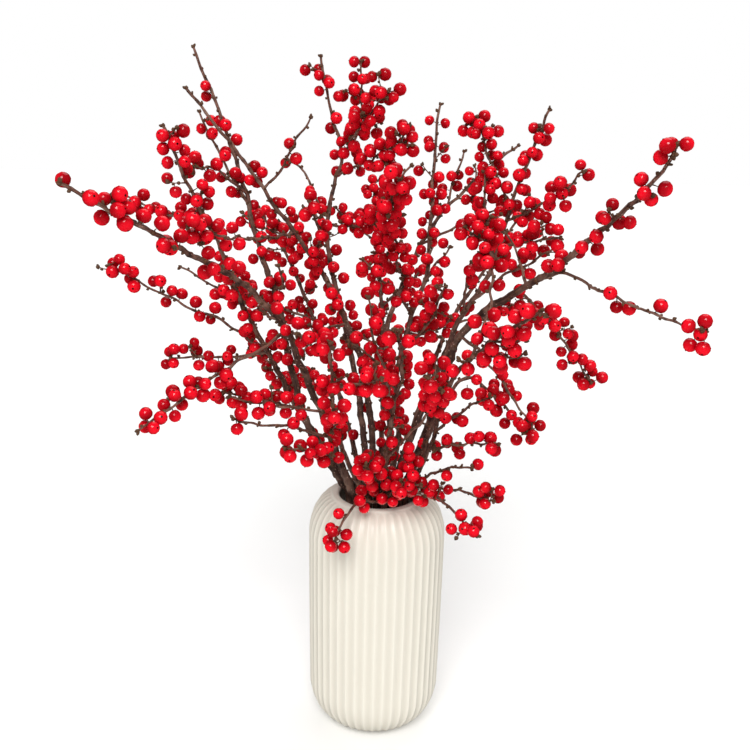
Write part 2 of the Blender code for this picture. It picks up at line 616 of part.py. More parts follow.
def joints_of(strand):
    """The indices of the strand's points that its tube goes through, forks among them."""
    last = len(strand.points) - 1
    lower = {0, 1, strand.inside} if strand.inside else {0}
    must = lower | strand.forks | {last}
    regular = range(strand.inside + TUBE_EVERY, last - 1, TUBE_EVERY)
    return sorted(must | {i for i in regular if not must & {i - 1, i + 1}})


def place_on(strand, share):
    """The point, radius and direction at a share of the strand, on the tube between its joints."""
    joints = joints_of(strand)
    above = strand.inside / joints[-1]
    place = (above + (1 - above) * share) * joints[-1]
    before, after = next(pair for pair in zip(joints, joints[1:]) if place <= pair[1])
    start, end = strand.points[before], strand.points[after]
    blend = (place - before) / (after - before)
    radius = strand.radii[before] * (1 - blend) + strand.radii[after] * blend
    return start.lerp(end, blend), radius, (end - start).normalized()


def place_berries(strands, crowd, rng):
    """One solid berry for every few of a clump, spread along it and turned round the wood."""
    for strand in strands:
        turn = rng.uniform(0, 360)
        for first, last, count in strand.crop:
            solids = math.ceil(count / CLUMP_PER_BERRY)
            for number in range(solids):
                share = first + (last - first) * (number + 0.5) / solids
                point, wood, direction = place_on(strand, share)
                turn += GOLDEN_ANGLE
                try_berry(strand, crowd, point, wood, direction, turn, rng)


def try_berry(strand, crowd, point, wood, direction, turn, rng):
    """Adds one berry against the wood, at the first of a few turns where it has room."""
    radius = rng.uniform(*BERRY_RADII)
    for extra in (0, 60, -60, 120, -120, 180):
        outward = (around(direction, turn + extra) + direction * 0.35).normalized()
        centre = point + outward * (wood * 0.8 + radius * BERRY_REACH)
        if crowd.has_room(centre, radius, strand):
            crowd.berries.append(Berry(strand.branch, centre, radius, outward))
            return


def add_tube(collection, strand, bevel_resolution):
    """The strand as a closed tube that narrows towards its tip."""
    data = bpy.data.curves.new(strand.branch, "CURVE")
    data.dimensions = "3D"
    data.bevel_depth = CM
    data.bevel_resolution = bevel_resolution
    data.use_fill_caps = True
    kept = joints_of(strand)
    spline = data.splines.new("POLY")
    spline.points.add(len(kept) - 1)
    for slot, index in zip(spline.points, kept):
        slot.co = (*(strand.points[index] * CM), 1)
        slot.radius = strand.radii[index]
    curve = bpy.data.objects.new(strand.branch, data)
    collection.objects.link(curve)
    mesh = mesh_from(curve)
    bpy.data.objects.remove(curve)
    bpy.data.curves.remove(data)
    tube = bpy.data.objects.new(strand.branch, mesh)
    collection.objects.link(tube)
    return tube


def add_berry(collection, berry):
    mesh = bpy.data.meshes.new("berry")
    work = bmesh.new()
    bmesh.ops.create_icosphere(work, subdivisions=1, radius=berry.radius * CM)
    work.to_mesh(mesh)
    work.free()
    ball = bpy.data.objects.new("berry", mesh)
    ball.location = berry.centre * CM
    ball.rotation_euler = berry.outward.to_track_quat("Z", "X").to_euler()
    collection.objects.link(ball)
    return ball


def add_branch(collection, joined, name, strands, berries):
    """One branch: its stem with the twigs and the berries joined to it."""
    stem, *twigs = [strand for strand in strands if strand.branch == name]
    branch = add_tube(collection, stem, STEM_BEVEL_RESOLUTION)
    for twig in twigs:
        add_tube(joined, twig, TWIG_BEVEL_RESOLUTION)
    for berry in berries:
        if berry.branch == name:
            add_berry(joined, berry)
    bpy.context.view_layer.update()
    union = branch.modifiers.new("grown_together", "BOOLEAN")
    union.operation = "UNION"
    union.operand_type = "COLLECTION"
    union.collection = joined
    union.solver = "EXACT"
    whole = mesh_from(branch)
    branch.modifiers.clear()
    branch.data = whole
    branch.name = name
    whole.shade_smooth()
    whole.set_sharp_from_angle(angle=math.radians(60))
    whole.materials.clear()
    whole.materials.append(material(name + "_bark", BARK_BROWN, 0.75))
    for helper in list(joined.objects):
        bpy.data.objects.remove(helper)
    return branch


def main():
    for obj in list(bpy.data.objects):
        bpy.data.objects.remove(obj)
    parts = bpy.data.collections.new(OBJECT_NAME)
    joined = bpy.data.collections.new("joined_shapes")
    bpy.context.scene.collection.children.link(parts)
    bpy.context.scene.collection.children.link(joined)
    add_vase(parts)
    strands = grow_strands()
    crowd = Crowd(strands)
    place_berries(strands, crowd, random.Random(11))
    for name in BRANCHES:
        add_branch(parts, joined, name, strands, crowd.berries)
    bpy.data.collections.remove(joined)


main()
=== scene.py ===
"""Winterberry branches in a fluted vase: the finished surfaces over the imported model.

The vase, the wood, the spurs with their buds and stalks, and the berries are each built by an operator.
The branches grow by the same rules as the solids they stand for, so each keeps its solid's form.
Places on the branches are centimetres, and CM turns them into metres.
"""

import functools
import math
import random

import bmesh
import bpy
from bpy.props import FloatProperty, FloatVectorProperty, IntProperty, PointerProperty
from mathutils import Matrix, Vector
from mathutils.kdtree import KDTree


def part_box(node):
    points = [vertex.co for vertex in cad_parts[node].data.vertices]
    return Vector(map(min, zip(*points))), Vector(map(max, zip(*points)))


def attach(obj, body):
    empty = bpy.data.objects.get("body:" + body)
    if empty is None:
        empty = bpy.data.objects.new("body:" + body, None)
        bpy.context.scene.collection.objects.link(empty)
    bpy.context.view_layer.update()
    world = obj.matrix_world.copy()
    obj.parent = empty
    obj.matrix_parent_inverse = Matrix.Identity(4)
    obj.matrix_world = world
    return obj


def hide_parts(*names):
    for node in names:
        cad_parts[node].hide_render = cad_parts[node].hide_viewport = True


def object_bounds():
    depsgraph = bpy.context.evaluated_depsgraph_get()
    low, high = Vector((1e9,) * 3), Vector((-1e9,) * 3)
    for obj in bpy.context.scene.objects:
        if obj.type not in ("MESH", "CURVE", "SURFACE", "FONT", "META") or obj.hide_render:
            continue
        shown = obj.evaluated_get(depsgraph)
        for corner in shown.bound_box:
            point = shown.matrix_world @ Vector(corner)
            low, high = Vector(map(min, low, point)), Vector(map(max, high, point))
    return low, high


bl_info = {
    "name": "Winterberry vase",
    "version": (1, 0, 0),
    "blender": (4, 5, 0),
    "location": "View3D > Sidebar > Winterberry",
    "description": "Builds bare winterberry branches with red berries in a fluted ceramic vase",
    "category": "Object",
}

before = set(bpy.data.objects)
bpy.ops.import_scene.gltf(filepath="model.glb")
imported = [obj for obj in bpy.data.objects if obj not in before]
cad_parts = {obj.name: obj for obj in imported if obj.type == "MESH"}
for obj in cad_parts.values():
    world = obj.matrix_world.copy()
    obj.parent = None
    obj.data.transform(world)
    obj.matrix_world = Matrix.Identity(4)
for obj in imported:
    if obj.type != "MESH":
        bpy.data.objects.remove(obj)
CAD_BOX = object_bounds()

CM = 0.01

# Vase: the height and the width are read from its solid
VASE_LOW, VASE_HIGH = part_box("vase")
VASE_HEIGHT = round(VASE_HIGH.z / CM, 3)
BELLY_RADIUS = round((VASE_HIGH.x - VASE_LOW.x) / 2 / CM, 3)
WAIST_RADIUS = 5.57
FOOT_RADIUS = 2.8
CORNER_HEIGHT = 3.7
SHOULDER_HEIGHT = 3.6
SHOULDER_TOP_RADIUS = 3.4
MOUTH_RADIUS = 3.2
WALL = 0.5
FLOOR_HEIGHT = 0.7
FOOT_BEVEL = 0.3
LIP_HEIGHT = 0.22

# Stems in the vase: an outer ring and an inner ring, each twisted between the floor and the mouth
OUTER_RING = {"mouth": 2.45, "foot": 2.0, "twist": 70}
INNER_RING = {"mouth": 1.15, "foot": 0.9, "twist": 60}
SEAT_GAP = 0.03
STRAIGHT_END = 1.2
INSIDE_STEPS = 6

# Wood and berries
STEM_TIP_RADIUS = 0.13
TWIG_ROOT_RADIUS = 0.16
TWIG_TIP_RADIUS = 0.1
BERRY_RADII = (0.44, 0.53)
ROUTE_STEP = 1.0
TUBE_EVERY = 3
STEM_TAPER = 1.4
TWIG_ROOT_SHARE = 0.8
STEM_WANDER = 0.08
TWIG_WANDER = 0.12
STEADY_STEM_POINTS = 3
STEADY_TWIG_POINTS = 2
NODE_GAP = 0.1
NEARBY = 1.2
BEND_ROUNDS = 40
STEM_PUSH = 0.4
TWIG_PUSH = 0.5
BERRY_REACH = 0.8
BERRY_LEAN = 0.35
BERRY_TURNS = (0, 60, -60, 120, -120, 180)
WOOD_BITE = 0.8
OWN_WOOD_ROOM = 0.7
OWN_BERRY_ROOM = 0.95
ROOM_STEP = 0.35
CLUMP_PER_BERRY = 12
GOLDEN_ANGLE = 137.5

# Seeds of the random draws
BRANCH_SEED = 7
SOLID_CROP_SEED = 11
CROP_SEED = 23
SHOOT_SEED = 61
BUD_SEED = 31
BERRY_SEED = 43

# Flutes and turned wall
COLUMNS_PER_FLUTE = 12
PROFILE_STEPS = 20
COLLAR_STEP = 0.07
FLUTE_TOP_RADIUS = 3.85
FLUTE_FOOT_RADIUS = 2.9
FLUTE_FADE = 0.35

# Arcs of the wall's profile: first and last angle in degrees, and the steps where they are fixed
COLLAR_ARC = (88, 80, 4)
SHOULDER_ARC = (79, 0)
INNER_SHOULDER_ARC = (0, 78)
LIP_ARC = (200, 95, 5)

# Distances in metres
SEAM_MERGE = 0.0001
DOUBLE_MERGE = 0.000002
FLOOR_DROP = 0.0005

# The full crop: the share that is hung of what each clump counts past its solid berries, and its room
CROP_SCALE = 0.86
CROP_INSET = 0.15
CROP_LIMITS = (
    tuple(value / CM + CROP_INSET for value in CAD_BOX[0]),
    tuple(value / CM - CROP_INSET for value in CAD_BOX[1]),
)
CELL = 1.2
SPOT_STEP = 0.25
TRIES = 16
CROP_WOOD_ROOM = 0.92
BERRY_TOUCH = 0.97
BERRY_TILT = 0.35
BERRY_FLATNESS = (0.92, 1.0)
RIM_CLEAR = 0.9
MOUTH_CLEAR = 0.2
WALL_CLEAR = 0.12
TOUCH_STEPS = 16

# Berry stalks and side shoots
STALK_LENGTHS = (0.06, 0.8)
STALK_LEAN = (-0.35, 0.4)
STALK_LIFT = 0.2
STALK_RADIUS = 0.05
STALK_SHORTEST = 0.05
STALK_REACH = 0.9
CLUMP_PER_SHOOT = 5
SHOOT_SPANS = 3
SHOOT_LENGTHS = (0.7, 1.3)
SHOOT_GROWTH = 0.02
SHOOT_LEAN = (0.3, 0.9)
SHOOT_RISE = 0.12
SHOOT_RADIUS = 0.08
SHOOT_TAPER = 0.12
SHOOT_CLEAR = 0.4
SHOOT_BARE = 0.4

# Buds and spurs
BUD_SPACING = 0.95
BUD_WIDTH = 0.8
BUD_SIZES = (0.75, 1.15)
BUD_LEAN = (0.7, 1.3)
BUD_SINK = 0.7
BUD_CLEAR = 0.3
TIP_BUDS = 3
TIP_BUD_TURN = 120
TIP_BUD_SPREAD = 0.45
TIP_BUD_SINK = 0.1
SPUR_SPACING = 1.3
SPUR_CHANCE = 0.4
SPUR_CLEAR = 0.5
SPUR_WOOD = 0.11
SPUR_LEAN = 0.7
SPUR_RADIUS = 0.12
SPUR_LENGTHS = (0.08, 0.25)

# Fine wood
WOOD_STEP = 0.3
KNOT_SWELL = 0.25
KNOT_SHARPNESS = 6
ZIGZAG = 0.04
ZIGZAG_SIDE = 40
ZIGZAG_STEPS = 4
YOUNG_RADIUS = 0.1
AGEING_GROWTH = 0.2
YOUNG_SLIMNESS = 0.74

# Shapes to copy, as shares of their unit size
DIMPLE_START = 0.8
DIMPLE_SHARE = 0.5
SCAR_HEIGHT = 1.03
BUD_FOOT_WIDTH = 1.25
BUD_TAPER = 0.95
BUD_TAPER_START = 0.3

# Shares in the mixes of the finishes
# GLAZE_CLOUD and GLAZE_BASE vary and offset the painted shade and glaze pooling in the flutes
GLAZE_CLOUD = 0.35
GLAZE_BASE = -0.15
RING_DARKNESS = 0.55
RIPENESS_SHARE = 0.35
SKIN_MOTTLE = 0.12

# Camera
CAMERA_PLACE = (-0.45, -80.0, 56.1)
CAMERA_PITCH = 17.36
CAMERA_ROLL = 1.31
CAMERA_LENS = 50
CAMERA_SENSOR = 36

# White surround
SURROUND_LIGHT = 0.38
SURROUND_REFLECTION = 0.03

# Soft lights: azimuth and elevation in degrees, share of the main strength, spread in degrees,
# and whether reflections show it
LIGHTS = {
    "key_light": (-5, 44, 1.0, 30, True),
    "front_light": (12, 16, 0.15, 50, False),
    "side_light_left": (-85, 30, 0.22, 60, False),
    "side_light_right": (80, 30, 0.22, 60, False),
    "back_light": (165, 55, 0.35, 50, True),
}

# Finer colours as sRGB hex
BARK_FURROW = "2E1C16"
BARK_BLOOM = "9C7A68"
LENTICEL = "BC9A8A"
STALK_OLIVE = "6E4A2C"
BUD_BROWN = "3E271C"
BERRY_SCAR = "1E0805"

# Each branch: where its stem crosses the mouth, its thickness at the base, the points it passes
# on its way to the tip, its crop and its twigs.
# Each twig: the stem point it leaves from (0 is the mouth, 1 the first route point, and so on),
# the points it passes, and its crop.
# A crop is a list of clumps: the shares of the length above the mouth, or of the twig, between
# which the clump hangs, and its count of berries, which CROP_SCALE thins.
BRANCHES = {
    "branch_far_left": {
        "ring": OUTER_RING, "angle": 218, "diameter": 0.66,
        "route": [(-4, -3, 27.5), (-6.2, -5, 33.7), (-7, -6.5, 36.4), (-9.5, -10, 40.4),
                  (-13, -16, 44.2), (-16.5, -21, 47.5), (-18, -22.5, 48.7)],
        "crop": [(0.5, 0.7, 6), (0.76, 0.81, 5), (0.82, 0.87, 3), (0.88, 0.93, 8),
                 (0.94, 0.96, 1), (0.97, 1, 1)],
        "twigs": [
            (3, [(-10.1, -9, 34.7), (-13.2, -12, 33.2), (-15.8, -16.5, 32)],
             [(0.38, 0.47, 4), (0.52, 0.6, 4), (0.66, 0.76, 7), (0.84, 0.92, 4)]),
            (3, [(-5.5, -9, 36.5), (-3.5, -9, 36)], [(0.3, 1, 8)]),
            (3.2, [(-8.8, -3.5, 36.9), (-11.3, 1, 36.9), (-16.6, 4, 38.7)],
             [(0.5, 0.62, 3), (0.68, 0.74, 2), (0.8, 0.86, 1)]),
        ],
    },
    "branch_left": {
        "ring": OUTER_RING, "angle": 185, "diameter": 0.64,
        "route": [(-5.5, -1, 26.5), (-7, -1, 31.5), (-8.2, -1, 37.3), (-9.8, 1, 41),
                  (-11.3, 4, 45.5), (-12.8, 6, 49), (-14, 7, 52), (-15.8, 8, 56)],
        "crop": [(0.28, 0.36, 5), (0.4, 0.48, 4), (0.5, 0.58, 5), (0.6, 0.68, 5), (0.7, 0.74, 2),
                 (0.79, 0.81, 1), (0.84, 0.87, 2), (0.9, 0.935, 2)],
        "twigs": [
            (1.4, [(-9.5, -3.5, 30), (-12, -5, 31)], [(0.25, 0.5, 6), (0.7, 1, 9)]),
            (4.7, [(-12.4, 4, 46.4), (-14, 5, 49.2), (-15, 5.2, 51)],
             [(0.5, 0.6, 2), (0.76, 0.9, 4)]),
            (4.9, [(-13, 2, 46.8), (-14.2, -0.5, 47.3)], [(0.15, 0.35, 3), (0.6, 1, 6)]),
            (3.2, [(-7.5, -4, 39), (-7.5, -6, 41)], [(0.1, 0.5, 3)]),
        ],
    },
    "branch_left_back": {
        "ring": INNER_RING, "angle": 228, "diameter": 0.6,
        "route": [(-0.6, 0.6, 25), (-1.5, 2.5, 31), (-4, 3, 37), (-6.5, 3, 41), (-9, 3, 44.5),
                  (-11.5, 3, 48), (-15.5, 3, 53)],
        "crop": [(0.38, 0.48, 5), (0.52, 0.6, 5), (0.68, 0.73, 4), (0.75, 0.8, 4)],
        "twigs": [
            (5.2, [(-8, 2.5, 47.3), (-6.7, 0, 49.5), (-5.5, -1, 51.2)], [(0.45, 0.62, 2)]),
            (4.2, [(-8, 0, 42.2), (-9.2, -4.5, 42.7), (-10.6, -9, 43.6), (-12.4, -14.5, 45.2)],
             [(0.58, 0.72, 2), (0.8, 1, 13)]),
            (3, [(-6, 6, 39.5), (-9.5, 9, 41)], [(0.15, 0.5, 6), (0.55, 1, 12)]),
            (3.6, [(-5, 0, 42), (-5.5, -2, 45)], [(0.15, 0.5, 4), (0.6, 1, 6)]),
            (2.5, [(-5.5, 0.5, 34), (-6, -2, 33)], [(0.3, 1, 11)]),
        ],
    },
    "branch_left_rear": {
        "ring": OUTER_RING, "angle": 152, "diameter": 0.58,
        "route": [(-6, 2, 26), (-7.6, 0.8, 29.5), (-9, 0, 32.8), (-11, -2, 37.7),
                  (-12.5, -3.5, 42.6), (-14, -4.5, 46), (-15.8, -4.5, 50.7)],
        "crop": [(0.08, 0.18, 5), (0.22, 0.32, 6), (0.36, 0.46, 6), (0.5, 0.58, 7),
                 (0.6, 0.68, 8), (0.7, 0.78, 8), (0.79, 0.86, 9), (0.87, 0.92, 6), (0.92, 0.98, 7)],
        "twigs": [
            (3, [(-12.7, 1.5, 31.9), (-16.9, 0, 32.1)], [(0.45, 0.77, 10), (0.92, 1, 4)]),
            (3, [(-12, 1.5, 34.3), (-14.6, 1, 35.8), (-18.2, -0.5, 38), (-21, -2, 40)],
             [(0.14, 0.2, 2), (0.4, 0.5, 4), (0.58, 0.68, 6), (0.79, 0.86, 3), (0.92, 1, 5)]),
            (5, [(-15, -2, 43.6), (-18, 0.5, 44), (-20.6, 2, 45)],
             [(0.1, 0.36, 4), (0.46, 0.6, 3), (0.68, 0.86, 4)]),
            (2.4, [(-11.5, 5, 35), (-14, 9, 38)], [(0.1, 0.4, 5), (0.5, 1, 8)]),
            (1.5, [(-9, 7.5, 29), (-12, 10.5, 30)], [(0.35, 1, 14)]),
        ],
    },
    "branch_front_left": {
        "ring": OUTER_RING, "angle": 251, "diameter": 0.5,
        "route": [(-2.5, -4, 25.5), (-3.5, -6.5, 30), (-3.5, -9.5, 33), (-3.5, -12, 37)],
        "crop": [(0.3, 0.5, 4), (0.7, 0.84, 5), (0.88, 1, 4)],
        "twigs": [
            (2, [(-8.5, -6, 30.5), (-11, -7.5, 31.5)], [(0.2, 0.4, 3), (0.55, 1, 8)]),
            (1.3, [(-6.6, -8, 29.4), (-8.6, -10, 30.3), (-10.2, -12, 31.4)],
             [(0.42, 0.5, 2), (0.92, 1, 2)]),
            (1, [(-4, -8, 27.5), (-5.5, -11, 29)], [(0.45, 1, 16)]),
            (2.1, [(-3, -10.5, 31), (-3.2, -12.5, 32.6)], [(0.2, 1, 10)]),
            (3, [(-1, -11.5, 34), (0, -13.5, 35)], [(0.2, 1, 11)]),
        ],
    },
    "branch_front": {
        "ring": OUTER_RING, "angle": 283, "diameter": 0.5,
        "route": [(0.5, -4.3, 25.5), (1, -6, 30.5), (1.5, -9, 34), (1, -12, 38)],
        "crop": [(0.1, 0.4, 6), (0.45, 0.6, 4), (0.65, 0.8, 6), (0.85, 1, 5)],
        "twigs": [
            (0.1, [(-1.3, -4.6, 22.1), (-2.8, -6.6, 21.2), (-3.2, -7.2, 19.8)],
             [(0.3, 0.5, 3), (0.68, 1, 10)]),
            (0.25, [(1.4, -4.6, 23.2), (3.2, -5.2, 23.9)], [(0.15, 1, 24)]),
            (1, [(3, -6.5, 29.5), (4, -9, 32.5)], [(0.25, 0.4, 2), (0.8, 1, 4)]),
            (0.6, [(-0.5, -6, 25), (-1, -8, 26.5)], [(0.2, 1, 13)]),
            (2.4, [(-0.5, -8, 36), (-1, -9, 39.5)],
             [(0.1, 0.3, 4), (0.4, 0.6, 4), (0.7, 0.8, 2), (0.94, 1, 1)]),
        ],
    },
    "branch_right_front": {
        "ring": OUTER_RING, "angle": 316, "diameter": 0.56,
        "route": [(3.5, -4, 26.5), (4.2, -7, 30.5), (4.9, -11, 34.3), (6.1, -15, 37.4),
                  (7.5, -18, 39.7), (9.2, -20, 41.5)],
        "crop": [(0.48, 0.6, 4), (0.64, 0.76, 5), (0.8, 0.9, 9), (0.92, 1, 7)],
        "twigs": [
            (4, [(7.5, -16.5, 37.6), (9, -17, 38)], [(0.2, 1, 7)]),
            (4.5, [(8.8, -17.5, 39)], [(0.2, 1, 6)]),
            (3.7, [(7, -13, 40), (7.3, -10.5, 42.3), (6.7, -8, 44.6)],
             [(0.25, 0.4, 2), (0.48, 0.6, 2), (0.66, 0.82, 11), (0.84, 1, 16)]),
            (2.3, [(3.8, -11.5, 34), (2.9, -13.5, 35.3)], [(0.2, 1, 12)]),
        ],
    },
    "branch_right_low": {
        "ring": OUTER_RING, "angle": 349, "diameter": 0.5,
        "route": [(4, -2, 25.5), (4.8, -3, 29), (6, -3.3, 31.7), (7, -3, 32), (8.7, -3, 30.6),
                  (10.4, -4, 29.2)],
        "crop": [(0.25, 0.35, 2), (0.5, 0.6, 2), (0.72, 0.78, 2), (0.85, 0.95, 9), (0.96, 1, 2)],
        "twigs": [
            (0.1, [(5, -5, 22.4), (7.3, -9.8, 21.8)],
             [(0.1, 0.16, 1), (0.28, 0.52, 7), (0.78, 1, 7)]),
            (0.2, [(5.5, -4.2, 23.1), (8.7, -7.5, 23.7)], [(0.04, 0.15, 2), (0.84, 1, 8)]),
            (0.4, [(5.3, -5, 25.2), (7, -8, 26.5)], [(0.54, 0.6, 1), (0.96, 1, 1)]),
            (1, [(6.2, -5, 27.3), (8.9, -7.5, 28.3)],
             [(0.22, 0.5, 6), (0.6, 0.64, 1), (0.78, 0.92, 4)]),
            (1.5, [(6.8, -4.8, 30.2), (8, -6.8, 31.6)], [(0.28, 0.46, 3), (0.88, 1, 3)]),
        ],
    },
    "branch_far_right": {
        "ring": OUTER_RING, "angle": 21, "diameter": 0.8,
        "route": [(4.1, -1, 27.7), (5.1, -1.5, 32.1), (6.1, -2, 35.1), (8.2, -3, 37.6),
                  (11.7, -6, 40.8), (14.2, -10.5, 44.6), (16.1, -15.5, 48.5), (16.8, -18, 51)],
        "crop": [(0.6, 0.66, 4), (0.68, 0.72, 2), (0.74, 0.81, 7), (0.87, 0.91, 5), (0.96, 1, 5)],
        "twigs": [
            (4.9, [(12.9, -6.2, 41), (14.7, -7, 40.4), (16.9, -9, 39.7), (21, -14.5, 39)],
             [(0.4, 0.46, 2), (0.5, 0.54, 1), (0.66, 0.7, 1), (0.95, 1, 6)]),
            (4.6, [(10.2, -2.5, 41.4), (9.2, -1.5, 43)], [(0.3, 0.8, 1)]),
            (4.3, [(10.5, -2.5, 38.6), (12, -2, 37.3), (15, -0.5, 33.7), (17, 0, 30.8)],
             [(0.04, 0.12, 2), (0.28, 0.42, 4), (0.45, 0.66, 8), (0.68, 0.88, 7), (0.9, 1, 6)]),
            (2.9, [(7.6, -3, 34), (8.9, -4, 32.6), (11.7, -6, 28.9)],
             [(0.44, 0.5, 1), (0.58, 0.66, 2), (0.82, 0.97, 12)]),
        ],
    },
    "branch_right_tall": {
        "ring": INNER_RING, "angle": 12, "diameter": 0.62,
        "route": [(3, 0.9, 26.5), (4.5, 1.8, 30.5), (6.3, 2.6, 35), (8.5, 2.6, 39),
                  (9.7, 2.6, 43.3), (10.5, 2, 46.5), (12.4, 2, 52)],
        "crop": [(0.3, 0.45, 4), (0.5, 0.6, 2), (0.66, 0.72, 3), (0.74, 0.78, 3), (0.8, 0.85, 4),
                 (0.86, 0.9, 4), (0.91, 0.96, 5)],
        "twigs": [
            (5.1, [(12.5, 0, 45.3), (14.5, -3, 48)],
             [(0.15, 0.5, 8), (0.56, 0.72, 7), (0.9, 0.98, 2)]),
            (4.6, [(13.3, -2, 42.8)], [(0.35, 0.75, 8), (0.88, 1, 2)]),
            (5.5, [(8.2, 5, 48.3), (7.3, 6.5, 51.2)], [(0.2, 0.52, 12), (0.6, 0.94, 17)]),
            (3.3, [(6.5, 0, 38.5), (6.5, -3, 41)], [(0.75, 1, 3)]),
            (4.2, [(8, 2.5, 44.5), (8, 3.5, 47)], [(0.3, 1, 10)]),
            (3.4, [(9.5, 1.5, 38.9), (11.7, 0.5, 40.5), (13.3, -1, 42)], [(0.4, 0.96, 8)]),
        ],
    },
    "branch_diagonal": {
        "ring": INNER_RING, "angle": 84, "diameter": 0.6,
        "route": [(0.9, 2.8, 25), (0.6, 5, 29), (0.5, 7, 33), (1.5, 8, 36), (3.2, 9.3, 40),
                  (6.3, 11, 44), (11.5, 12, 48.5)],
        "crop": [(0.05, 0.2, 5), (0.4, 0.6, 2), (0.8, 0.9, 1)],
        "twigs": [
            (5.8, [(6.8, 12.5, 47.7)], [(0.2, 0.7, 4)]),
            (4.4, [(1.3, 6, 38.5), (1.1, 2.5, 41.2), (0.5, -2, 44.3), (0.7, -6, 46.7),
                   (1.6, -8, 48.5)],
             [(0.02, 0.2, 6), (0.2, 0.4, 10), (0.4, 0.6, 11), (0.6, 0.78, 10), (0.78, 0.93, 10)]),
            (5, [(7.5, 8.5, 42.5), (10, 8, 43.5)], [(0.4, 1, 6)]),
            (3, [(4, 6, 33), (6, 7, 34)], [(0.4, 1, 11)]),
            (2.4, [(-1.5, 8.5, 32), (-4, 10, 33)], [(0.3, 0.95, 9)]),
        ],
    },
    "branch_spike": {
        "ring": INNER_RING, "angle": 300, "diameter": 0.56,
        "route": [(1.6, -1, 26), (1.3, 0.5, 31), (2.5, 3, 35.4), (3.7, 5.5, 38.6), (4, 8.5, 42.8),
                  (4.2, 11, 47), (4.6, 13, 51.7)],
        "crop": [(0.15, 0.3, 4), (0.35, 0.5, 5), (0.55, 0.66, 6), (0.67, 0.74, 6),
                 (0.75, 0.83, 7), (0.84, 0.91, 5), (0.93, 0.96, 2)],
        "twigs": [
            (2.5, [(3.5, -1, 35.5), (4.5, -5, 39.5)], [(0.3, 1, 16)]),
            (3, [(0.8, 0, 38), (-1.5, -3, 41)], [(0.15, 0.45, 4), (0.6, 1, 7)]),
            (1.8, [(-0.5, -2.5, 33), (-2.5, -4, 35)], [(0.4, 1, 10)]),
            (3.8, [(5.3, 3.5, 41)], [(0.3, 1, 4)]),
        ],
    },
    "branch_centre_back": {
        "ring": INNER_RING, "angle": 156, "diameter": 0.62,
        "route": [(-1.3, 2.4, 25), (-2, 4.5, 29), (-3, 5.5, 33.5), (-4.3, 6.3, 38.4),
                  (-4.7, 7, 42), (-4.3, 8, 45), (-3.6, 9, 47.6), (-4.6, 9, 51), (-5.5, 9, 55.4)],
        "crop": [(0.03, 0.14, 4), (0.18, 0.3, 5), (0.35, 0.46, 5), (0.5, 0.62, 6),
                 (0.74, 0.82, 3), (0.86, 0.89, 2), (0.93, 0.965, 7)],
        "twigs": [
            (7, [(-2.3, 9.8, 49.5), (-2.1, 11, 55)],
             [(0.15, 0.46, 9), (0.5, 0.72, 10), (0.74, 0.84, 3), (0.96, 1, 2)]),
            (6.5, [(-2.2, 6, 47), (-0.8, 3, 48), (0.9, 0.5, 49.3), (1.7, -0.5, 50.8)],
             [(0.15, 0.3, 3), (0.38, 0.58, 8), (0.6, 0.84, 13), (0.86, 0.96, 6)]),
            (4.8, [(-6.5, 10, 45.5), (-8.5, 12, 47)], [(0.25, 0.5, 3), (0.94, 1, 1)]),
            (4.5, [(-6.2, 7, 44)], [(0.4, 1, 3)]),
            (7.1, [(-2.7, 6, 49.1), (-1.5, 3.5, 51), (0, 1.5, 53)],
             [(0.15, 0.45, 7), (0.5, 0.78, 12), (0.8, 1, 11)]),
            (5, [(-2.6, 4.5, 42.3), (-1.3, 2, 43.2), (-0.3, 0, 44.4)], [(0.25, 1, 18)]),
        ],
    },
    "branch_back_right": {
        "ring": OUTER_RING, "angle": 54, "diameter": 0.54,
        "route": [(3.5, 5, 27), (6, 9.5, 33), (10, 14, 38), (13, 18, 42)],
        "crop": [(0.2, 0.4, 4), (0.45, 0.6, 3), (0.66, 0.82, 3), (0.86, 1, 5)],
        "twigs": [
            (2, [(10, 11, 33.5), (13, 12, 35)], [(0.4, 1, 8)]),
            (3, [(8.5, 17, 42), (8.5, 19, 46)], [(0.4, 1, 10)]),
            (3.3, [(14.8, 14, 41.2)], [(0.3, 1, 6)]),
            (1.3, [(4.5, 9.5, 27.5), (5, 13, 28)], [(0.3, 1, 8)]),
        ],
    },
    "branch_back": {
        "ring": OUTER_RING, "angle": 87, "diameter": 0.54,
        "route": [(0.3, 5.5, 27), (0, 11.5, 34), (-0.5, 16, 39), (-1, 19.5, 44)],
        "crop": [(0.05, 0.2, 6), (0.25, 0.38, 7), (0.4, 0.52, 6), (0.55, 0.68, 7), (0.7, 0.8, 10),
                 (0.8, 0.9, 11), (0.9, 1, 9)],
        "twigs": [
            (2, [(3.5, 13, 37), (5, 15.5, 40)], [(0.3, 0.8, 7)]),
            (3, [(-4.5, 16.5, 42)], [(0.3, 1, 5)]),
            (1.4, [(-1, 11, 28), (-1.5, 15, 29)], [(0.2, 1, 8)]),
        ],
    },
    "branch_back_left": {
        "ring": OUTER_RING, "angle": 120, "diameter": 0.54,
        "route": [(-3.3, 5, 27), (-6, 10, 33), (-9, 15, 38), (-12, 18, 42)],
        "crop": [(0.3, 0.45, 7), (0.5, 0.62, 9), (0.68, 0.82, 8), (0.86, 1, 6)],
        "twigs": [
            (2, [(-10.5, 10.5, 34.5), (-13, 12, 36)], [(0.1, 0.4, 5), (0.5, 1, 11)]),
            (3, [(-7.5, 17, 42)], [(0.3, 1, 5)]),
            (3.2, [(-12.5, 14, 41)], [(0.4, 1, 6)]),
            (1.3, [(-5.5, 9.5, 27), (-7, 13, 27)], [(0.4, 1, 9)]),
        ],
    },
}


class Strand:
    """A stem or a twig: its points, the radius at each, and the clumps of its crop."""

    def __init__(self, branch, points, radii, crop):
        self.branch = branch
        self.points = points
        self.radii = radii
        self.crop = crop
        self.inside = 0
        self.forks = set()


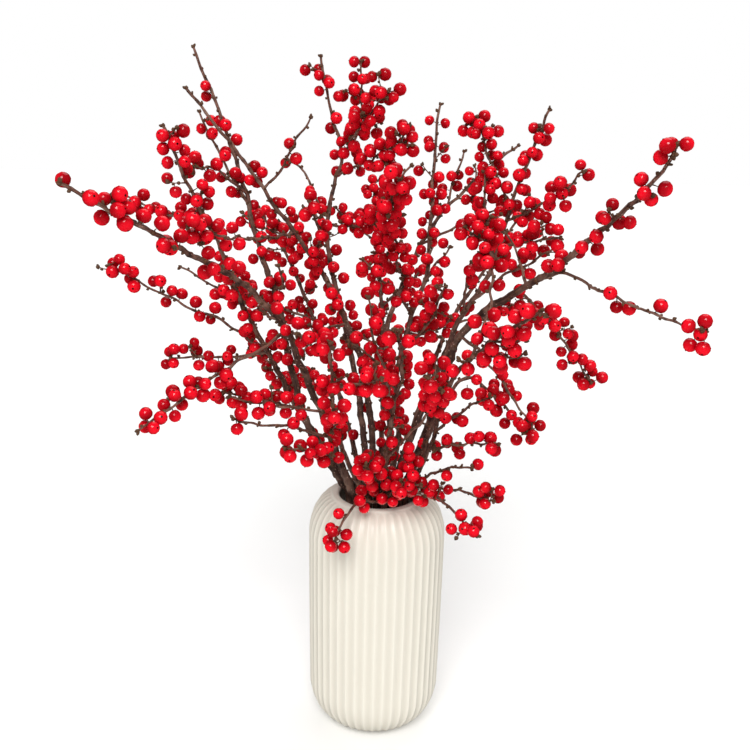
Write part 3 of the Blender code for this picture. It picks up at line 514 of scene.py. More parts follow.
def spline_point(points, place):
    """The point on a smooth curve through the points, where place 2.5 is halfway from 2 to 3."""
    last = len(points) - 1
    index = min(int(place), last - 1)
    share = place - index
    a, b, c, d = (points[min(max(index + offset, 0), last)] for offset in (-1, 0, 1, 2))
    square = share * share
    cube = square * share
    return (
        b * 2
        + (c - a) * share
        + (a * 2 - b * 5 + c * 4 - d) * square
        + (b * 3 - a - c * 3 + d) * cube
    ) / 2


def along(points, step):
    """Points at about the given step along the smooth curve, with the place of each."""
    found = []
    for index in range(len(points) - 1):
        pieces = max(1, round((points[index + 1] - points[index]).length / step))
        for piece in range(pieces):
            place = index + piece / pieces
            found.append((spline_point(points, place), place))
    found.append((points[-1].copy(), len(points) - 1))
    return found


def ring_point(radius, degrees, height):
    angle = math.radians(degrees)
    return Vector((radius * math.cos(angle), radius * math.sin(angle), height))


def wander(points, amount, rng, fixed):
    """Shifts each point past the fixed ones a little, as wood does from bud to bud."""
    for point in points[fixed:]:
        point += Vector([rng.uniform(-amount, amount) for _ in range(3)])


def stem_of(name, spec, rng):
    """The stem from its straight end on the vase's floor through the mouth to its tip."""
    ring = spec["ring"]
    foot = ring_point(ring["foot"], spec["angle"] + ring["twist"], FLOOR_HEIGHT + SEAT_GAP)
    mouth = ring_point(ring["mouth"], spec["angle"], VASE_HEIGHT)
    knee = foot + Vector((0, 0, STRAIGHT_END))
    rise = [knee.lerp(mouth, step / INSIDE_STEPS) for step in range(1, INSIDE_STEPS)]
    inside = [foot, knee] + rise
    outside = along([mouth] + [Vector(point) for point in spec["route"]], ROUTE_STEP)
    points = inside + [point for point, _ in outside]
    wander(points, STEM_WANDER, rng, len(inside) + STEADY_STEM_POINTS)
    places = [-1.0] * len(inside) + [place for _, place in outside]
    base = spec["diameter"] / 2
    count = len(points) - 1
    shares = [(index / count) ** STEM_TAPER for index in range(count + 1)]
    radii = [base + (STEM_TIP_RADIUS - base) * share for share in shares]
    stem = Strand(name, points, radii, spec["crop"])
    stem.places = places
    stem.inside = len(inside)
    return stem


def twig_of(stem, spec, rng):
    """A twig that leaves the stem's axis at a place on it and goes through its own points."""
    place, route, crop = spec
    index = min(range(len(stem.points)), key=lambda i: abs(stem.places[i] - place))
    stem.forks.add(index)
    root = stem.points[index]
    points = [point for point, _ in along([root] + [Vector(point) for point in route], ROUTE_STEP)]
    points[0] = root.copy()
    wander(points, TWIG_WANDER, rng, STEADY_TWIG_POINTS)
    count = len(points) - 1
    thick = min(TWIG_ROOT_RADIUS, stem.radii[index] * TWIG_ROOT_SHARE)
    radii = [thick + (TWIG_TIP_RADIUS - thick) * index / count for index in range(count + 1)]
    return Strand(stem.branch, points, radii, crop)


def tree_of(strands):
    """A search tree over every point of the strands, and what each point belongs to."""
    owners = [(strand, index) for strand in strands for index in range(len(strand.points))]
    tree = KDTree(len(owners))
    for number, (strand, index) in enumerate(owners):
        tree.insert(strand.points[index], number)
    tree.balance()
    return tree, owners


def bend_stems_clear(stems):
    """Moves stems apart above the vase wherever two of them come too near each other."""
    for _ in range(BEND_ROUNDS):
        tree, owners = tree_of(stems)
        for stem in stems:
            for index in range(stem.inside + 1, len(stem.points)):
                point = stem.points[index]
                for near, number, distance in tree.find_range(point, NEARBY):
                    other, place = owners[number]
                    wanted = stem.radii[index] + other.radii[place] + 2 * NODE_GAP
                    if other is not stem and 0 < distance < wanted:
                        point += (point - near) / distance * (wanted - distance) * STEM_PUSH


def bend_twig_clear(twig, strands):
    """Moves a twig away from other branches, and ends it where it would still touch one."""
    others = [strand for strand in strands if strand.branch != twig.branch]
    tree, owners = tree_of(others)

    def depth(index, near):
        other, place = owners[near[1]]
        return twig.radii[index] + other.radii[place] + 2 * NODE_GAP - near[2]

    for _ in range(BEND_ROUNDS):
        for index in range(1, len(twig.points)):
            point = twig.points[index]
            for near in tree.find_range(point, NEARBY):
                if depth(index, near) > 0 and near[2] > 0:
                    point += (point - near[0]) / near[2] * depth(index, near) * TWIG_PUSH
    for index in range(1, len(twig.points)):
        if any(depth(index, near) > NODE_GAP for near in tree.find_range(twig.points[index], NEARBY)):
            del twig.points[index:]
            del twig.radii[index:]
            break


def grow_strands():
    """Every stem first, bent clear of its neighbours, and then the twigs one by one."""
    rng = random.Random(BRANCH_SEED)
    stems = {name: stem_of(name, spec, rng) for name, spec in BRANCHES.items()}
    bend_stems_clear(list(stems.values()))
    strands = list(stems.values())
    for name, spec in BRANCHES.items():
        for twig_spec in spec["twigs"]:
            twig = twig_of(stems[name], twig_spec, rng)
            bend_twig_clear(twig, strands)
            if len(twig.points) > 2:
                strands.append(twig)
    return strands


class Berry:
    """One berry: its centre and radius, the branch it grows on, and its way out from the wood."""

    def __init__(self, branch, centre, radius, outward):
        self.branch = branch
        self.centre = centre
        self.radius = radius
        self.outward = outward


def finer(strand, step):
    """(point, radius, direction, share of the length) at a fine step along a strand."""
    spots = along(strand.points, step)
    count = len(strand.points) - 1
    found = []
    for index, (point, place) in enumerate(spots):
        ahead = spots[min(index + 1, len(spots) - 1)][0]
        behind = spots[max(index - 1, 0)][0]
        lower = min(int(place), count)
        radius = strand.radii[lower]
        found.append((point, radius, (ahead - behind).normalized(), place / count))
    return found


class Crowd:
    """The wood and the berries placed so far, asked whether one more berry has room."""

    def __init__(self, strands):
        self.wood = [
            (spot[0], spot[1], strand) for strand in strands for spot in finer(strand, ROOM_STEP)
        ]
        self.tree = KDTree(len(self.wood))
        for number, (point, _, _) in enumerate(self.wood):
            self.tree.insert(point, number)
        self.tree.balance()
        self.berries = []

    def has_room(self, centre, radius, strand):
        beside_vase = centre.z < VASE_HEIGHT + radius + NODE_GAP
        if beside_vase and math.hypot(centre.x, centre.y) < BELLY_RADIUS + radius + NODE_GAP:
            return False
        for _, number, distance in self.tree.find_range(centre, NEARBY):
            _, wood_radius, owner = self.wood[number]
            same = owner.branch == strand.branch
            room = wood_radius + radius * (OWN_WOOD_ROOM if same else 1) + (0 if same else NODE_GAP)
            if owner is not strand and distance < room:
                return False
        for berry in self.berries:
            same = berry.branch == strand.branch
            share = OWN_BERRY_ROOM if same else 1
            room = (berry.radius + radius) * share + (0 if same else NODE_GAP)
            if (berry.centre - centre).length < room:
                return False
        return True


def around(direction, degrees):
    """A unit vector square to the direction, turned round it by the degrees."""
    side = direction.orthogonal().normalized()
    turn = math.radians(degrees)
    return side * math.cos(turn) + direction.cross(side) * math.sin(turn)


def joints_of(strand):
    """The indices of the strand's points that its tube goes through, forks among them."""
    last = len(strand.points) - 1
    lower = {0, 1, strand.inside} if strand.inside else {0}
    must = lower | strand.forks | {last}
    regular = range(strand.inside + TUBE_EVERY, last - 1, TUBE_EVERY)
    return sorted(must | {i for i in regular if not must & {i - 1, i + 1}})


def place_on(strand, share):
    """The point, radius and direction at a share of the strand, on the tube between its joints."""
    joints = joints_of(strand)
    above = strand.inside / joints[-1]
    place = (above + (1 - above) * share) * joints[-1]
    before, after = next(pair for pair in zip(joints, joints[1:]) if place <= pair[1])
    start, end = strand.points[before], strand.points[after]
    blend = (place - before) / (after - before)
    radius = strand.radii[before] * (1 - blend) + strand.radii[after] * blend
    return start.lerp(end, blend), radius, (end - start).normalized()


def place_berries(strands, crowd, rng):
    """One solid berry for every few of a clump, spread along it and turned round the wood."""
    for strand in strands:
        turn = rng.uniform(0, 360)
        for first, last, count in strand.crop:
            solids = math.ceil(count / CLUMP_PER_BERRY)
            for number in range(solids):
                share = first + (last - first) * (number + 0.5) / solids
                point, wood, direction = place_on(strand, share)
                turn += GOLDEN_ANGLE
                try_berry(strand, crowd, point, wood, direction, turn, rng)


def try_berry(strand, crowd, point, wood, direction, turn, rng):
    """Adds one berry against the wood, at the first of a few turns where it has room."""
    radius = rng.uniform(*BERRY_RADII)
    for extra in BERRY_TURNS:
        outward = (around(direction, turn + extra) + direction * BERRY_LEAN).normalized()
        centre = point + outward * (wood * WOOD_BITE + radius * BERRY_REACH)
        if crowd.has_room(centre, radius, strand):
            crowd.berries.append(Berry(strand.branch, centre, radius, outward))
            return


def arc(centre, reach, first, last, count):
    """(radius, height) points on an ellipse round centre, from angle first to last."""
    points = []
    for index in range(count + 1):
        angle = math.radians(first + (last - first) * index / count)
        points.append((
            centre[0] + reach[0] * math.cos(angle),
            centre[1] + reach[1] * math.sin(angle),
        ))
    return points


def touches_vase(centre, radius):
    """Whether a ball reaches the vase's outer side or hangs inside it."""
    if centre.z > VASE_HEIGHT + radius:
        return False
    from_axis = math.hypot(centre.x, centre.y)
    if from_axis < MOUTH_RADIUS + MOUTH_CLEAR:
        return True
    profile = outer_profile(TOUCH_STEPS)
    gaps = [math.hypot(from_axis - side, centre.z - height) for side, height in profile]
    rim = VASE_HEIGHT - SHOULDER_HEIGHT
    inside = centre.z < rim and from_axis < BELLY_RADIUS
    return inside or min(gaps) < radius + WALL_CLEAR


class FullCrowd(Crowd):
    """A crowd for the whole crop, kept in cells, where a berry also stays off its own twig."""

    def __init__(self, strands):
        super().__init__(strands)
        self.cells = {}

    def cell_of(self, point):
        return tuple(math.floor(value / CELL) for value in point)

    def add(self, berry):
        self.berries.append(berry)
        self.cells.setdefault(self.cell_of(berry.centre), []).append(berry)

    def neighbours(self, point):
        x, y, z = self.cell_of(point)
        steps = (-1, 0, 1)
        for cell in ((x + i, y + j, z + k) for i in steps for j in steps for k in steps):
            yield from self.cells.get(cell, ())

    def has_room(self, centre, radius, strand):
        if touches_vase(centre, radius):
            return False
        low, high = CROP_LIMITS
        if any(not low[i] < centre[i] < high[i] for i in range(3)):
            return False
        for _, number, distance in self.tree.find_range(centre, NEARBY):
            _, wood_radius, owner = self.wood[number]
            same = owner.branch == strand.branch
            if distance < wood_radius + radius * (CROP_WOOD_ROOM if same else 1):
                return False
        for berry in self.neighbours(centre):
            if (berry.centre - centre).length < (berry.radius + radius) * BERRY_TOUCH:
                return False
        return True


def clump_spots(strand, first, last):
    """The fine spots of a strand between two shares of its part above the mouth."""
    above = strand.inside / (len(strand.points) - 1)
    start, end = (above + (1 - above) * share for share in (first, last))
    spots = finer(strand, SPOT_STEP)
    middle = min(spots, key=lambda spot: abs(spot[3] - (start + end) / 2))
    return [spot for spot in spots if start <= spot[3] <= end] or [middle]


def shoot_from(strand, spot, turn, count, rng):
    """A thin shoot that leaves the wood at a spot, longer in a larger clump."""
    point, _, direction, _ = spot
    length = rng.uniform(*SHOOT_LENGTHS) * (1 + SHOOT_GROWTH * count)
    way = (around(direction, turn) + direction * rng.uniform(*SHOOT_LEAN)).normalized()
    points = []
    for index in range(SHOOT_SPANS + 1):
        rise = Vector((0, 0, SHOOT_RISE)) * (index / SHOOT_SPANS) ** 2
        points.append(point + (way + rise) * length * index / SHOOT_SPANS)
    radii = [SHOOT_RADIUS * (1 - SHOOT_TAPER * index) for index in range(SHOOT_SPANS + 1)]
    return Strand(strand.branch, points, radii, [])


def grow_clumps(strands):
    """The shoots in the larger clumps, and for each clump its strand, its spots and its count."""
    rng = random.Random(SHOOT_SEED)
    tree, owners = tree_of(strands)
    shoots = []
    clumps = []
    for strand in strands:
        turn = rng.uniform(0, 360)
        for first, last, count in strand.crop:
            wood = clump_spots(strand, first, last)
            spots = list(wood)
            for _ in range(count // CLUMP_PER_SHOOT):
                turn += GOLDEN_ANGLE
                shoot = shoot_from(strand, rng.choice(wood), turn, count, rng)
                ends = shoot.points[1:]
                near = [found for end in ends for found in tree.find_range(end, SHOOT_CLEAR)]
                blocked = any(owners[found[1]][0] is not strand for found in near)
                if not blocked and not any(touches_vase(end, SHOOT_CLEAR) for end in ends):
                    shoots.append(shoot)
                    spots += clump_spots(shoot, SHOOT_BARE, 1)
            clumps.append((strand, spots, count - math.ceil(count / CLUMP_PER_BERRY)))
    return shoots, clumps


def hang_clump(strand, crowd, spots, count, radii, rng):
    """Hangs a clump's berries round its wood, on longer stalks where the near places are taken."""
    shortest, longest = STALK_LENGTHS
    attempts = count * TRIES
    for attempt in range(attempts):
        point, wood, direction, _ = rng.choice(spots)
        radius = rng.uniform(*radii)
        stalk = rng.uniform(shortest, shortest + (longest - shortest) * (attempt + 1) / attempts)
        outward = around(direction, rng.uniform(0, 360)) + direction * rng.uniform(*STALK_LEAN)
        outward.normalize()
        centre = point + outward * (wood + stalk + radius)
        over_rim = centre.z > VASE_HEIGHT + RIM_CLEAR or point.z < VASE_HEIGHT
        if count > 0 and over_rim and crowd.has_room(centre, radius, strand):
            berry = Berry(strand.branch, centre, radius, outward)
            berry.root = point + outward * wood * WOOD_BITE
            crowd.add(berry)
            count -= 1


@functools.cache
def grow_plant(smallest, largest):
    """All the wood and the whole crop: the berries of the solids, and the others round them."""
    strands = grow_strands()
    first = Crowd(strands)
    place_berries(strands, first, random.Random(SOLID_CROP_SEED))
    shoots, clumps = grow_clumps(strands)
    crowd = FullCrowd(strands + shoots)
    for berry in first.berries:
        berry.root = berry.centre - berry.outward * berry.radius
        moved = berry.centre + berry.outward * (STALK_LENGTHS[0] + berry.radius * STALK_LIFT)
        if crowd.has_room(moved, berry.radius, Strand(berry.branch, [], [], [])):
            berry.centre = moved
        crowd.add(berry)
    rng = random.Random(CROP_SEED)
    for strand, spots, count in clumps:
        hang_clump(strand, crowd, spots, round(count * CROP_SCALE), (smallest / CM, largest / CM), rng)
    return strands + shoots, crowd.berries


def linear(hex_colour):
    """An sRGB hex colour as linear RGBA."""
    values = [int(hex_colour[index:index + 2], 16) / 255 for index in (0, 2, 4)]
    return tuple(v / 12.92 if v <= 0.04045 else ((v + 0.055) / 1.055) ** 2.4 for v in values) + (1.0,)


def add_node(tree, kind, settings=None, inputs=None):
    """A node with its settings made and its inputs set, or linked: a node means its first output."""
    node = tree.nodes.new(kind)
    for name, value in (settings or {}).items():
        setattr(node, name, value)
    for name, value in (inputs or {}).items():
        if isinstance(value, bpy.types.Node):
            value = value.outputs[0]
        if isinstance(value, bpy.types.NodeSocket):
            tree.links.new(value, node.inputs[name])
        else:
            node.inputs[name].default_value = value
    return node


def new_material(name):
    """A material with an empty node tree."""
    made = bpy.data.materials.new(name)
    made.use_nodes = True
    made.node_tree.nodes.clear()
    return made, made.node_tree


def surfaced(made, tree, inputs):
    """The material, finished with a surface that has these inputs."""
    shader = add_node(tree, "ShaderNodeBsdfPrincipled", inputs=inputs)
    add_node(tree, "ShaderNodeOutputMaterial", inputs={"Surface": shader})
    return made


def satin_glaze(settings):
    """Glazed stoneware, paler on the ribs, darker and warmer in the flutes: painted shade and pooled
    glaze.
    """
    made, tree = new_material("satin_ivory_glaze")
    # Painted shade: the flute's depth at each point darkens the glaze towards each flute's middle,
    # along with glaze pooling
    flute_shade_and_pool = add_node(tree, "ShaderNodeAttribute", {"attribute_name": "glaze_pool"})
    place = add_node(tree, "ShaderNodeTexCoord")
    cloud = add_node(tree, "ShaderNodeTexNoise", inputs={
        "Vector": place.outputs["Object"], "Scale": 28.0, "Detail": 4.0, "Roughness": 0.55})
    depth = add_node(tree, "ShaderNodeMath", {"operation": "MULTIPLY_ADD"}, {
        0: cloud.outputs["Fac"], 1: GLAZE_CLOUD, 2: GLAZE_BASE})
    amount = add_node(tree, "ShaderNodeMath", {"operation": "ADD", "use_clamp": True}, {
        0: flute_shade_and_pool.outputs["Fac"], 1: depth})
    colour = add_node(tree, "ShaderNodeMix", {"data_type": "RGBA"}, {
        "Factor": amount, "A": settings.rib_colour, "B": settings.flute_shade_and_pool_colour})
    speck = add_node(tree, "ShaderNodeTexNoise", inputs={
        "Vector": place.outputs["Object"], "Scale": 900.0, "Detail": 2.0})
    bump = add_node(tree, "ShaderNodeBump", inputs={
        "Strength": 0.06, "Distance": 0.0004, "Height": speck.outputs["Fac"]})
    return surfaced(made, tree, {
        "Base Color": colour.outputs["Result"], "Roughness": 0.42, "IOR": 1.5,
        "Coat Weight": 0.15, "Coat Roughness": 0.22, "Normal": bump})


def winter_bark(settings):
    """Winterberry bark: brown, furrowed along the grain, with a pale bloom and paler lenticels."""
    made, tree = new_material("winterberry_bark")
    age = add_node(tree, "ShaderNodeAttribute", {"attribute_name": "wood_age"})
    run = add_node(tree, "ShaderNodeAttribute", {"attribute_name": "bark_along"})
    turn = add_node(tree, "ShaderNodeAttribute", {"attribute_name": "bark_around"})
    place = add_node(tree, "ShaderNodeTexCoord")
    grain_place = add_node(tree, "ShaderNodeCombineXYZ", inputs={
        "X": run.outputs["Fac"], "Y": turn.outputs["Fac"]})
    stretch = add_node(tree, "ShaderNodeMapping", inputs={
        "Vector": grain_place, "Scale": (32.0, 4.5, 1.0)})
    grain = add_node(tree, "ShaderNodeTexNoise", inputs={
        "Vector": stretch, "Scale": 2.4, "Detail": 5.0, "Roughness": 0.7})
    patches = add_node(tree, "ShaderNodeTexNoise", inputs={
        "Vector": place.outputs["Object"], "Scale": 60.0, "Detail": 4.0, "Roughness": 0.6})
    spots_place = add_node(tree, "ShaderNodeMapping", inputs={
        "Vector": grain_place, "Scale": (260.0, 9.0, 1.0)})
    spots = add_node(tree, "ShaderNodeTexVoronoi", inputs={
        "Vector": spots_place, "Scale": 1.0})
    wood = add_node(tree, "ShaderNodeMix", {"data_type": "RGBA"}, {
        "Factor": age.outputs["Fac"], "A": settings.young_colour, "B": settings.old_colour})
    ring = add_node(tree, "ShaderNodeAttribute", {"attribute_name": "bud_ring"})
    shade = add_node(tree, "ShaderNodeMapRange", inputs={
        "Value": grain.outputs["Fac"], "From Min": 0.44, "From Max": 0.58,
        "To Min": 0.0, "To Max": 0.8})
    ringed = add_node(tree, "ShaderNodeMath", {"operation": "MULTIPLY_ADD", "use_clamp": True}, {
        0: ring.outputs["Fac"], 1: RING_DARKNESS, 2: shade})
    streaked = add_node(tree, "ShaderNodeMix", {"data_type": "RGBA"}, {
        "Factor": ringed, "A": wood.outputs["Result"], "B": linear(BARK_FURROW)})
    bloom = add_node(tree, "ShaderNodeMapRange", inputs={
        "Value": patches.outputs["Fac"], "From Min": 0.48, "From Max": 0.68,
        "To Min": 0.0, "To Max": 0.6})
    bloomed = add_node(tree, "ShaderNodeMix", {"data_type": "RGBA"}, {
        "Factor": bloom, "A": streaked.outputs["Result"], "B": linear(BARK_BLOOM)})
    lenticel = add_node(tree, "ShaderNodeMapRange", inputs={
        "Value": spots.outputs["Distance"], "From Min": 0.12, "From Max": 0.22,
        "To Min": 0.8, "To Max": 0.0})
    spotted = add_node(tree, "ShaderNodeMix", {"data_type": "RGBA"}, {
        "Factor": lenticel, "A": bloomed.outputs["Result"], "B": linear(LENTICEL)})
    bump = add_node(tree, "ShaderNodeBump", inputs={
        "Strength": 0.8, "Distance": 0.0009, "Height": grain.outputs["Fac"]})
    return surfaced(made, tree, {
        "Base Color": spotted.outputs["Result"], "Roughness": 0.7, "IOR": 1.45,
        "Normal": bump})


def young_wood():
    """Fresh stalks and bud scales: olive-brown, smoother than the bark."""
    made, tree = new_material("stalk_and_bud_wood")
    place = add_node(tree, "ShaderNodeTexCoord")
    mottle = add_node(tree, "ShaderNodeTexNoise", inputs={
        "Vector": place.outputs["Object"], "Scale": 300.0, "Detail": 3.0})
    colour = add_node(tree, "ShaderNodeMix", {"data_type": "RGBA"}, {
        "Factor": mottle.outputs["Fac"], "A": linear(STALK_OLIVE), "B": linear(BUD_BROWN)})
    return surfaced(made, tree, {
        "Base Color": colour.outputs["Result"], "Roughness": 0.6, "IOR": 1.45})


def berry_skin(settings):
    """Ripe winterberry: waxy scarlet skin with painted shade round the stalk, and a dark scar at its
    end.
    """
    made, tree = new_material("ripe_berry_skin")
    tone = add_node(tree, "ShaderNodeAttribute", {"attribute_name": "ripeness"})
    end = add_node(tree, "ShaderNodeAttribute", {"attribute_name": "berry_end"})
    place = add_node(tree, "ShaderNodeTexCoord")
    mottle = add_node(tree, "ShaderNodeTexNoise", inputs={
        "Vector": place.outputs["Object"], "Scale": 260.0, "Detail": 2.0})
    # Painted shade: the skin darkens from the free end towards the stalk
    depth = add_node(tree, "ShaderNodeMapRange", {"interpolation_type": "SMOOTHSTEP"}, {
        "Value": end.outputs["Fac"], "From Min": 0.85, "From Max": -0.4,
        "To Min": -0.1, "To Max": 0.65})
    ripeness_and_shade = add_node(tree, "ShaderNodeMath", {"operation": "MULTIPLY_ADD"}, {
        0: tone.outputs["Fac"], 1: RIPENESS_SHARE, 2: depth})
    amount = add_node(tree, "ShaderNodeMath", {"operation": "MULTIPLY_ADD", "use_clamp": True}, {
        0: mottle.outputs["Fac"], 1: SKIN_MOTTLE, 2: ripeness_and_shade})
    skin = add_node(tree, "ShaderNodeMix", {"data_type": "RGBA"}, {
        "Factor": amount, "A": settings.bright_colour, "B": settings.ripe_and_shade_colour})
    scar = add_node(tree, "ShaderNodeMapRange", inputs={
        "Value": end.outputs["Fac"], "From Min": 0.962, "From Max": 0.975,
        "To Min": 0.0, "To Max": 1.0})
    ended = add_node(tree, "ShaderNodeMix", {"data_type": "RGBA"}, {
        "Factor": scar, "A": skin.outputs["Result"], "B": linear(BERRY_SCAR)})
    return surfaced(made, tree, {
        "Base Color": ended.outputs["Result"], "Roughness": 0.16, "IOR": 1.48,
        "Subsurface Weight": 0.05, "Subsurface Radius": (1.0, 0.1, 0.1),
        "Subsurface Scale": 0.001})


def geometry_tree(name, sockets):
    """A geometry tree with a geometry input and output, and the named inputs in the list."""
    tree = bpy.data.node_groups.new(name, "GeometryNodeTree")
    tree.interface.new_socket("Geometry", in_out="OUTPUT", socket_type="NodeSocketGeometry")
    tree.interface.new_socket("Geometry", in_out="INPUT", socket_type="NodeSocketGeometry")
    for label, kind in sockets:
        tree.interface.new_socket(label, in_out="INPUT", socket_type=kind)
    return tree, add_node(tree, "NodeGroupInput")


def end_tree(tree, geometry, group):
    """Every tree ends in real meshes with their material."""
    real = add_node(tree, "GeometryNodeRealizeInstances", inputs={"Geometry": geometry})
    finished = add_node(tree, "GeometryNodeSetMaterial", inputs={
        "Geometry": real, "Material": group.outputs["Material"]})
    add_node(tree, "NodeGroupOutput", inputs={"Geometry": finished})
    return tree


def fluted_wall_tree():
    """Draws the outer wall inwards along each flute, which ends in an arch at collar and foot."""
    tree, group = geometry_tree("fluted_wall", [
        ("Flutes", "NodeSocketInt"), ("Depth", "NodeSocketFloat"),
        ("Upper End Radius", "NodeSocketFloat"), ("Lower End Radius", "NodeSocketFloat"),
        ("Fade", "NodeSocketFloat"), ("Middle Height", "NodeSocketFloat"),
        ("Material", "NodeSocketMaterial")])
    place = add_node(tree, "GeometryNodeInputPosition")
    parts = add_node(tree, "ShaderNodeSeparateXYZ", inputs={"Vector": place})
    level = add_node(tree, "ShaderNodeVectorMath", {"operation": "MULTIPLY"}, {
        0: place, 1: (1.0, 1.0, 0.0)})
    radius = add_node(tree, "ShaderNodeVectorMath", {"operation": "LENGTH"}, {0: level})
    outward = add_node(tree, "ShaderNodeVectorMath", {"operation": "NORMALIZE"}, {
        0: level})
    bearing = add_node(tree, "ShaderNodeMath", {"operation": "ARCTAN2"}, {
        0: parts.outputs["Y"], 1: parts.outputs["X"]})
    turns = add_node(tree, "ShaderNodeMath", {"operation": "DIVIDE"}, {
        0: bearing, 1: math.tau})
    flute = add_node(tree, "ShaderNodeMath", {"operation": "MULTIPLY"}, {
        0: turns, 1: group.outputs["Flutes"]})
    phase = add_node(tree, "ShaderNodeMath", {"operation": "FRACT"}, {0: flute})
    across = add_node(tree, "ShaderNodeMath", {"operation": "MULTIPLY_ADD"}, {
        0: phase, 1: 2.0, 2: -1.0})
    square = add_node(tree, "ShaderNodeMath", {"operation": "MULTIPLY"}, {
        0: across, 1: across})
    quarter = add_node(tree, "ShaderNodeMath", {"operation": "MULTIPLY"}, {
        0: across, 1: math.pi / 2})
    bow = add_node(tree, "ShaderNodeMath", {"operation": "COSINE", "use_clamp": True}, {
        0: quarter})
    upper = add_node(tree, "ShaderNodeMath", {"operation": "GREATER_THAN"}, {
        0: parts.outputs["Z"], 1: group.outputs["Middle Height"]})
    end = add_node(tree, "ShaderNodeMix", {"data_type": "FLOAT"}, {
        "Factor": upper, "A": group.outputs["Lower End Radius"],
        "B": group.outputs["Upper End Radius"]})
    arch = add_node(tree, "ShaderNodeMath", {"operation": "MULTIPLY_ADD"}, {
        0: square, 1: group.outputs["Fade"], 2: end.outputs["Result"]})
    full = add_node(tree, "ShaderNodeMath", {"operation": "ADD"}, {
        0: arch, 1: group.outputs["Fade"]})
    fade = add_node(tree, "ShaderNodeMapRange", {"interpolation_type": "SMOOTHSTEP"}, {
        "Value": radius.outputs["Value"], "From Min": arch,
        "From Max": full})
    outer = add_node(tree, "GeometryNodeInputNamedAttribute", {"data_type": "FLOAT"}, {
        "Name": "outer_wall"})
    faded = add_node(tree, "ShaderNodeMath", {"operation": "MULTIPLY"}, {
        0: bow, 1: fade})
    hollow = add_node(tree, "ShaderNodeMath", {"operation": "MULTIPLY"}, {
        0: faded, 1: outer.outputs["Attribute"]})
    # Stores the flute's depth at each point, which the glaze turns into painted shade in the flutes
    # along with glaze pooling
    shade_and_pool_stored = add_node(tree, "GeometryNodeStoreNamedAttribute", {
        "data_type": "FLOAT", "domain": "POINT"}, {
        "Geometry": group.outputs["Geometry"], "Name": "glaze_pool", "Value": hollow})
    depth = add_node(tree, "ShaderNodeMath", {"operation": "MULTIPLY"}, {
        0: hollow, 1: group.outputs["Depth"]})
    back = add_node(tree, "ShaderNodeMath", {"operation": "MULTIPLY"}, {
        0: depth, 1: -1.0})
    inwards = add_node(tree, "ShaderNodeVectorMath", {"operation": "SCALE"}, {
        0: outward, "Scale": back})
    moved = add_node(tree, "GeometryNodeSetPosition", inputs={
        "Geometry": shade_and_pool_stored, "Offset": inwards})
    return end_tree(tree, moved, group)


def round_wood_tree():
    """Turns poly lines into round wood as thick as their points say, with places on its bark."""
    tree, group = geometry_tree("round_wood", [
        ("Sides", "NodeSocketInt"), ("Knobbliness", "NodeSocketFloat"),
        ("Material", "NodeSocketMaterial")])
    curve = add_node(tree, "GeometryNodeMeshToCurve", inputs={"Mesh": group.outputs["Geometry"]})
    run = add_node(tree, "GeometryNodeSplineParameter")
    lengths = add_node(tree, "GeometryNodeStoreNamedAttribute", {
        "data_type": "FLOAT", "domain": "POINT"}, {
        "Geometry": curve, "Name": "bark_along", "Value": run.outputs["Length"]})
    ring = add_node(tree, "GeometryNodeCurvePrimitiveCircle", inputs={
        "Resolution": group.outputs["Sides"], "Radius": 1.0})
    turn = add_node(tree, "GeometryNodeSplineParameter")
    rounds = add_node(tree, "GeometryNodeStoreNamedAttribute", {
        "data_type": "FLOAT", "domain": "POINT"}, {
        "Geometry": ring, "Name": "bark_around", "Value": turn.outputs["Factor"]})
    thickness = add_node(tree, "GeometryNodeInputNamedAttribute", {"data_type": "FLOAT"}, {
        "Name": "thickness"})
    skin = add_node(tree, "GeometryNodeCurveToMesh", inputs={
        "Curve": lengths, "Profile Curve": rounds,
        "Scale": thickness.outputs["Attribute"], "Fill Caps": True})
    lumps = add_node(tree, "ShaderNodeTexNoise", inputs={"Scale": 180.0, "Detail": 2.0})
    level = add_node(tree, "ShaderNodeMath", {"operation": "SUBTRACT"}, {
        0: lumps.outputs["Fac"], 1: 0.5})
    lift = add_node(tree, "ShaderNodeMath", {"operation": "MULTIPLY"}, {
        0: level, 1: group.outputs["Knobbliness"]})
    normal = add_node(tree, "GeometryNodeInputNormal")
    push = add_node(tree, "ShaderNodeVectorMath", {"operation": "SCALE"}, {
        0: normal, "Scale": lift})
    moved = add_node(tree, "GeometryNodeSetPosition", inputs={
        "Geometry": skin, "Offset": push})
    smooth = add_node(tree, "GeometryNodeSetShadeSmooth", inputs={"Geometry": moved})
    return end_tree(tree, smooth, group)


def placed_copies_tree():
    """Puts a copy of one shape on every point, turned and sized as the point says."""
    tree, group = geometry_tree("placed_copies", [
        ("Shape", "NodeSocketObject"), ("Material", "NodeSocketMaterial")])
    shape = add_node(tree, "GeometryNodeObjectInfo", {"transform_space": "ORIGINAL"}, {
        "Object": group.outputs["Shape"]})
    turned = add_node(tree, "GeometryNodeInputNamedAttribute", {"data_type": "FLOAT_VECTOR"}, {
        "Name": "turned"})
    sized = add_node(tree, "GeometryNodeInputNamedAttribute", {"data_type": "FLOAT_VECTOR"}, {
        "Name": "sized"})
    way = add_node(tree, "FunctionNodeEulerToRotation", inputs={
        "Euler": turned.outputs["Attribute"]})
    copies = add_node(tree, "GeometryNodeInstanceOnPoints", inputs={
        "Points": group.outputs["Geometry"], "Instance": shape.outputs["Geometry"],
        "Rotation": way, "Scale": sized.outputs["Attribute"]})
    return end_tree(tree, copies, group)


def in_scene(name, data):
    """A new object of the scene."""
    made = bpy.data.objects.new(name, data)
    bpy.context.scene.collection.objects.link(made)
    return made


def settled_mesh(source):
    """The plain mesh that an object's modifiers make. The object goes, with the mesh it had."""
    graph = bpy.context.evaluated_depsgraph_get()
    made = bpy.data.meshes.new_from_object(source.evaluated_get(graph))
    mesh = source.data
    bpy.data.objects.remove(source)
    bpy.data.meshes.remove(mesh)
    return made


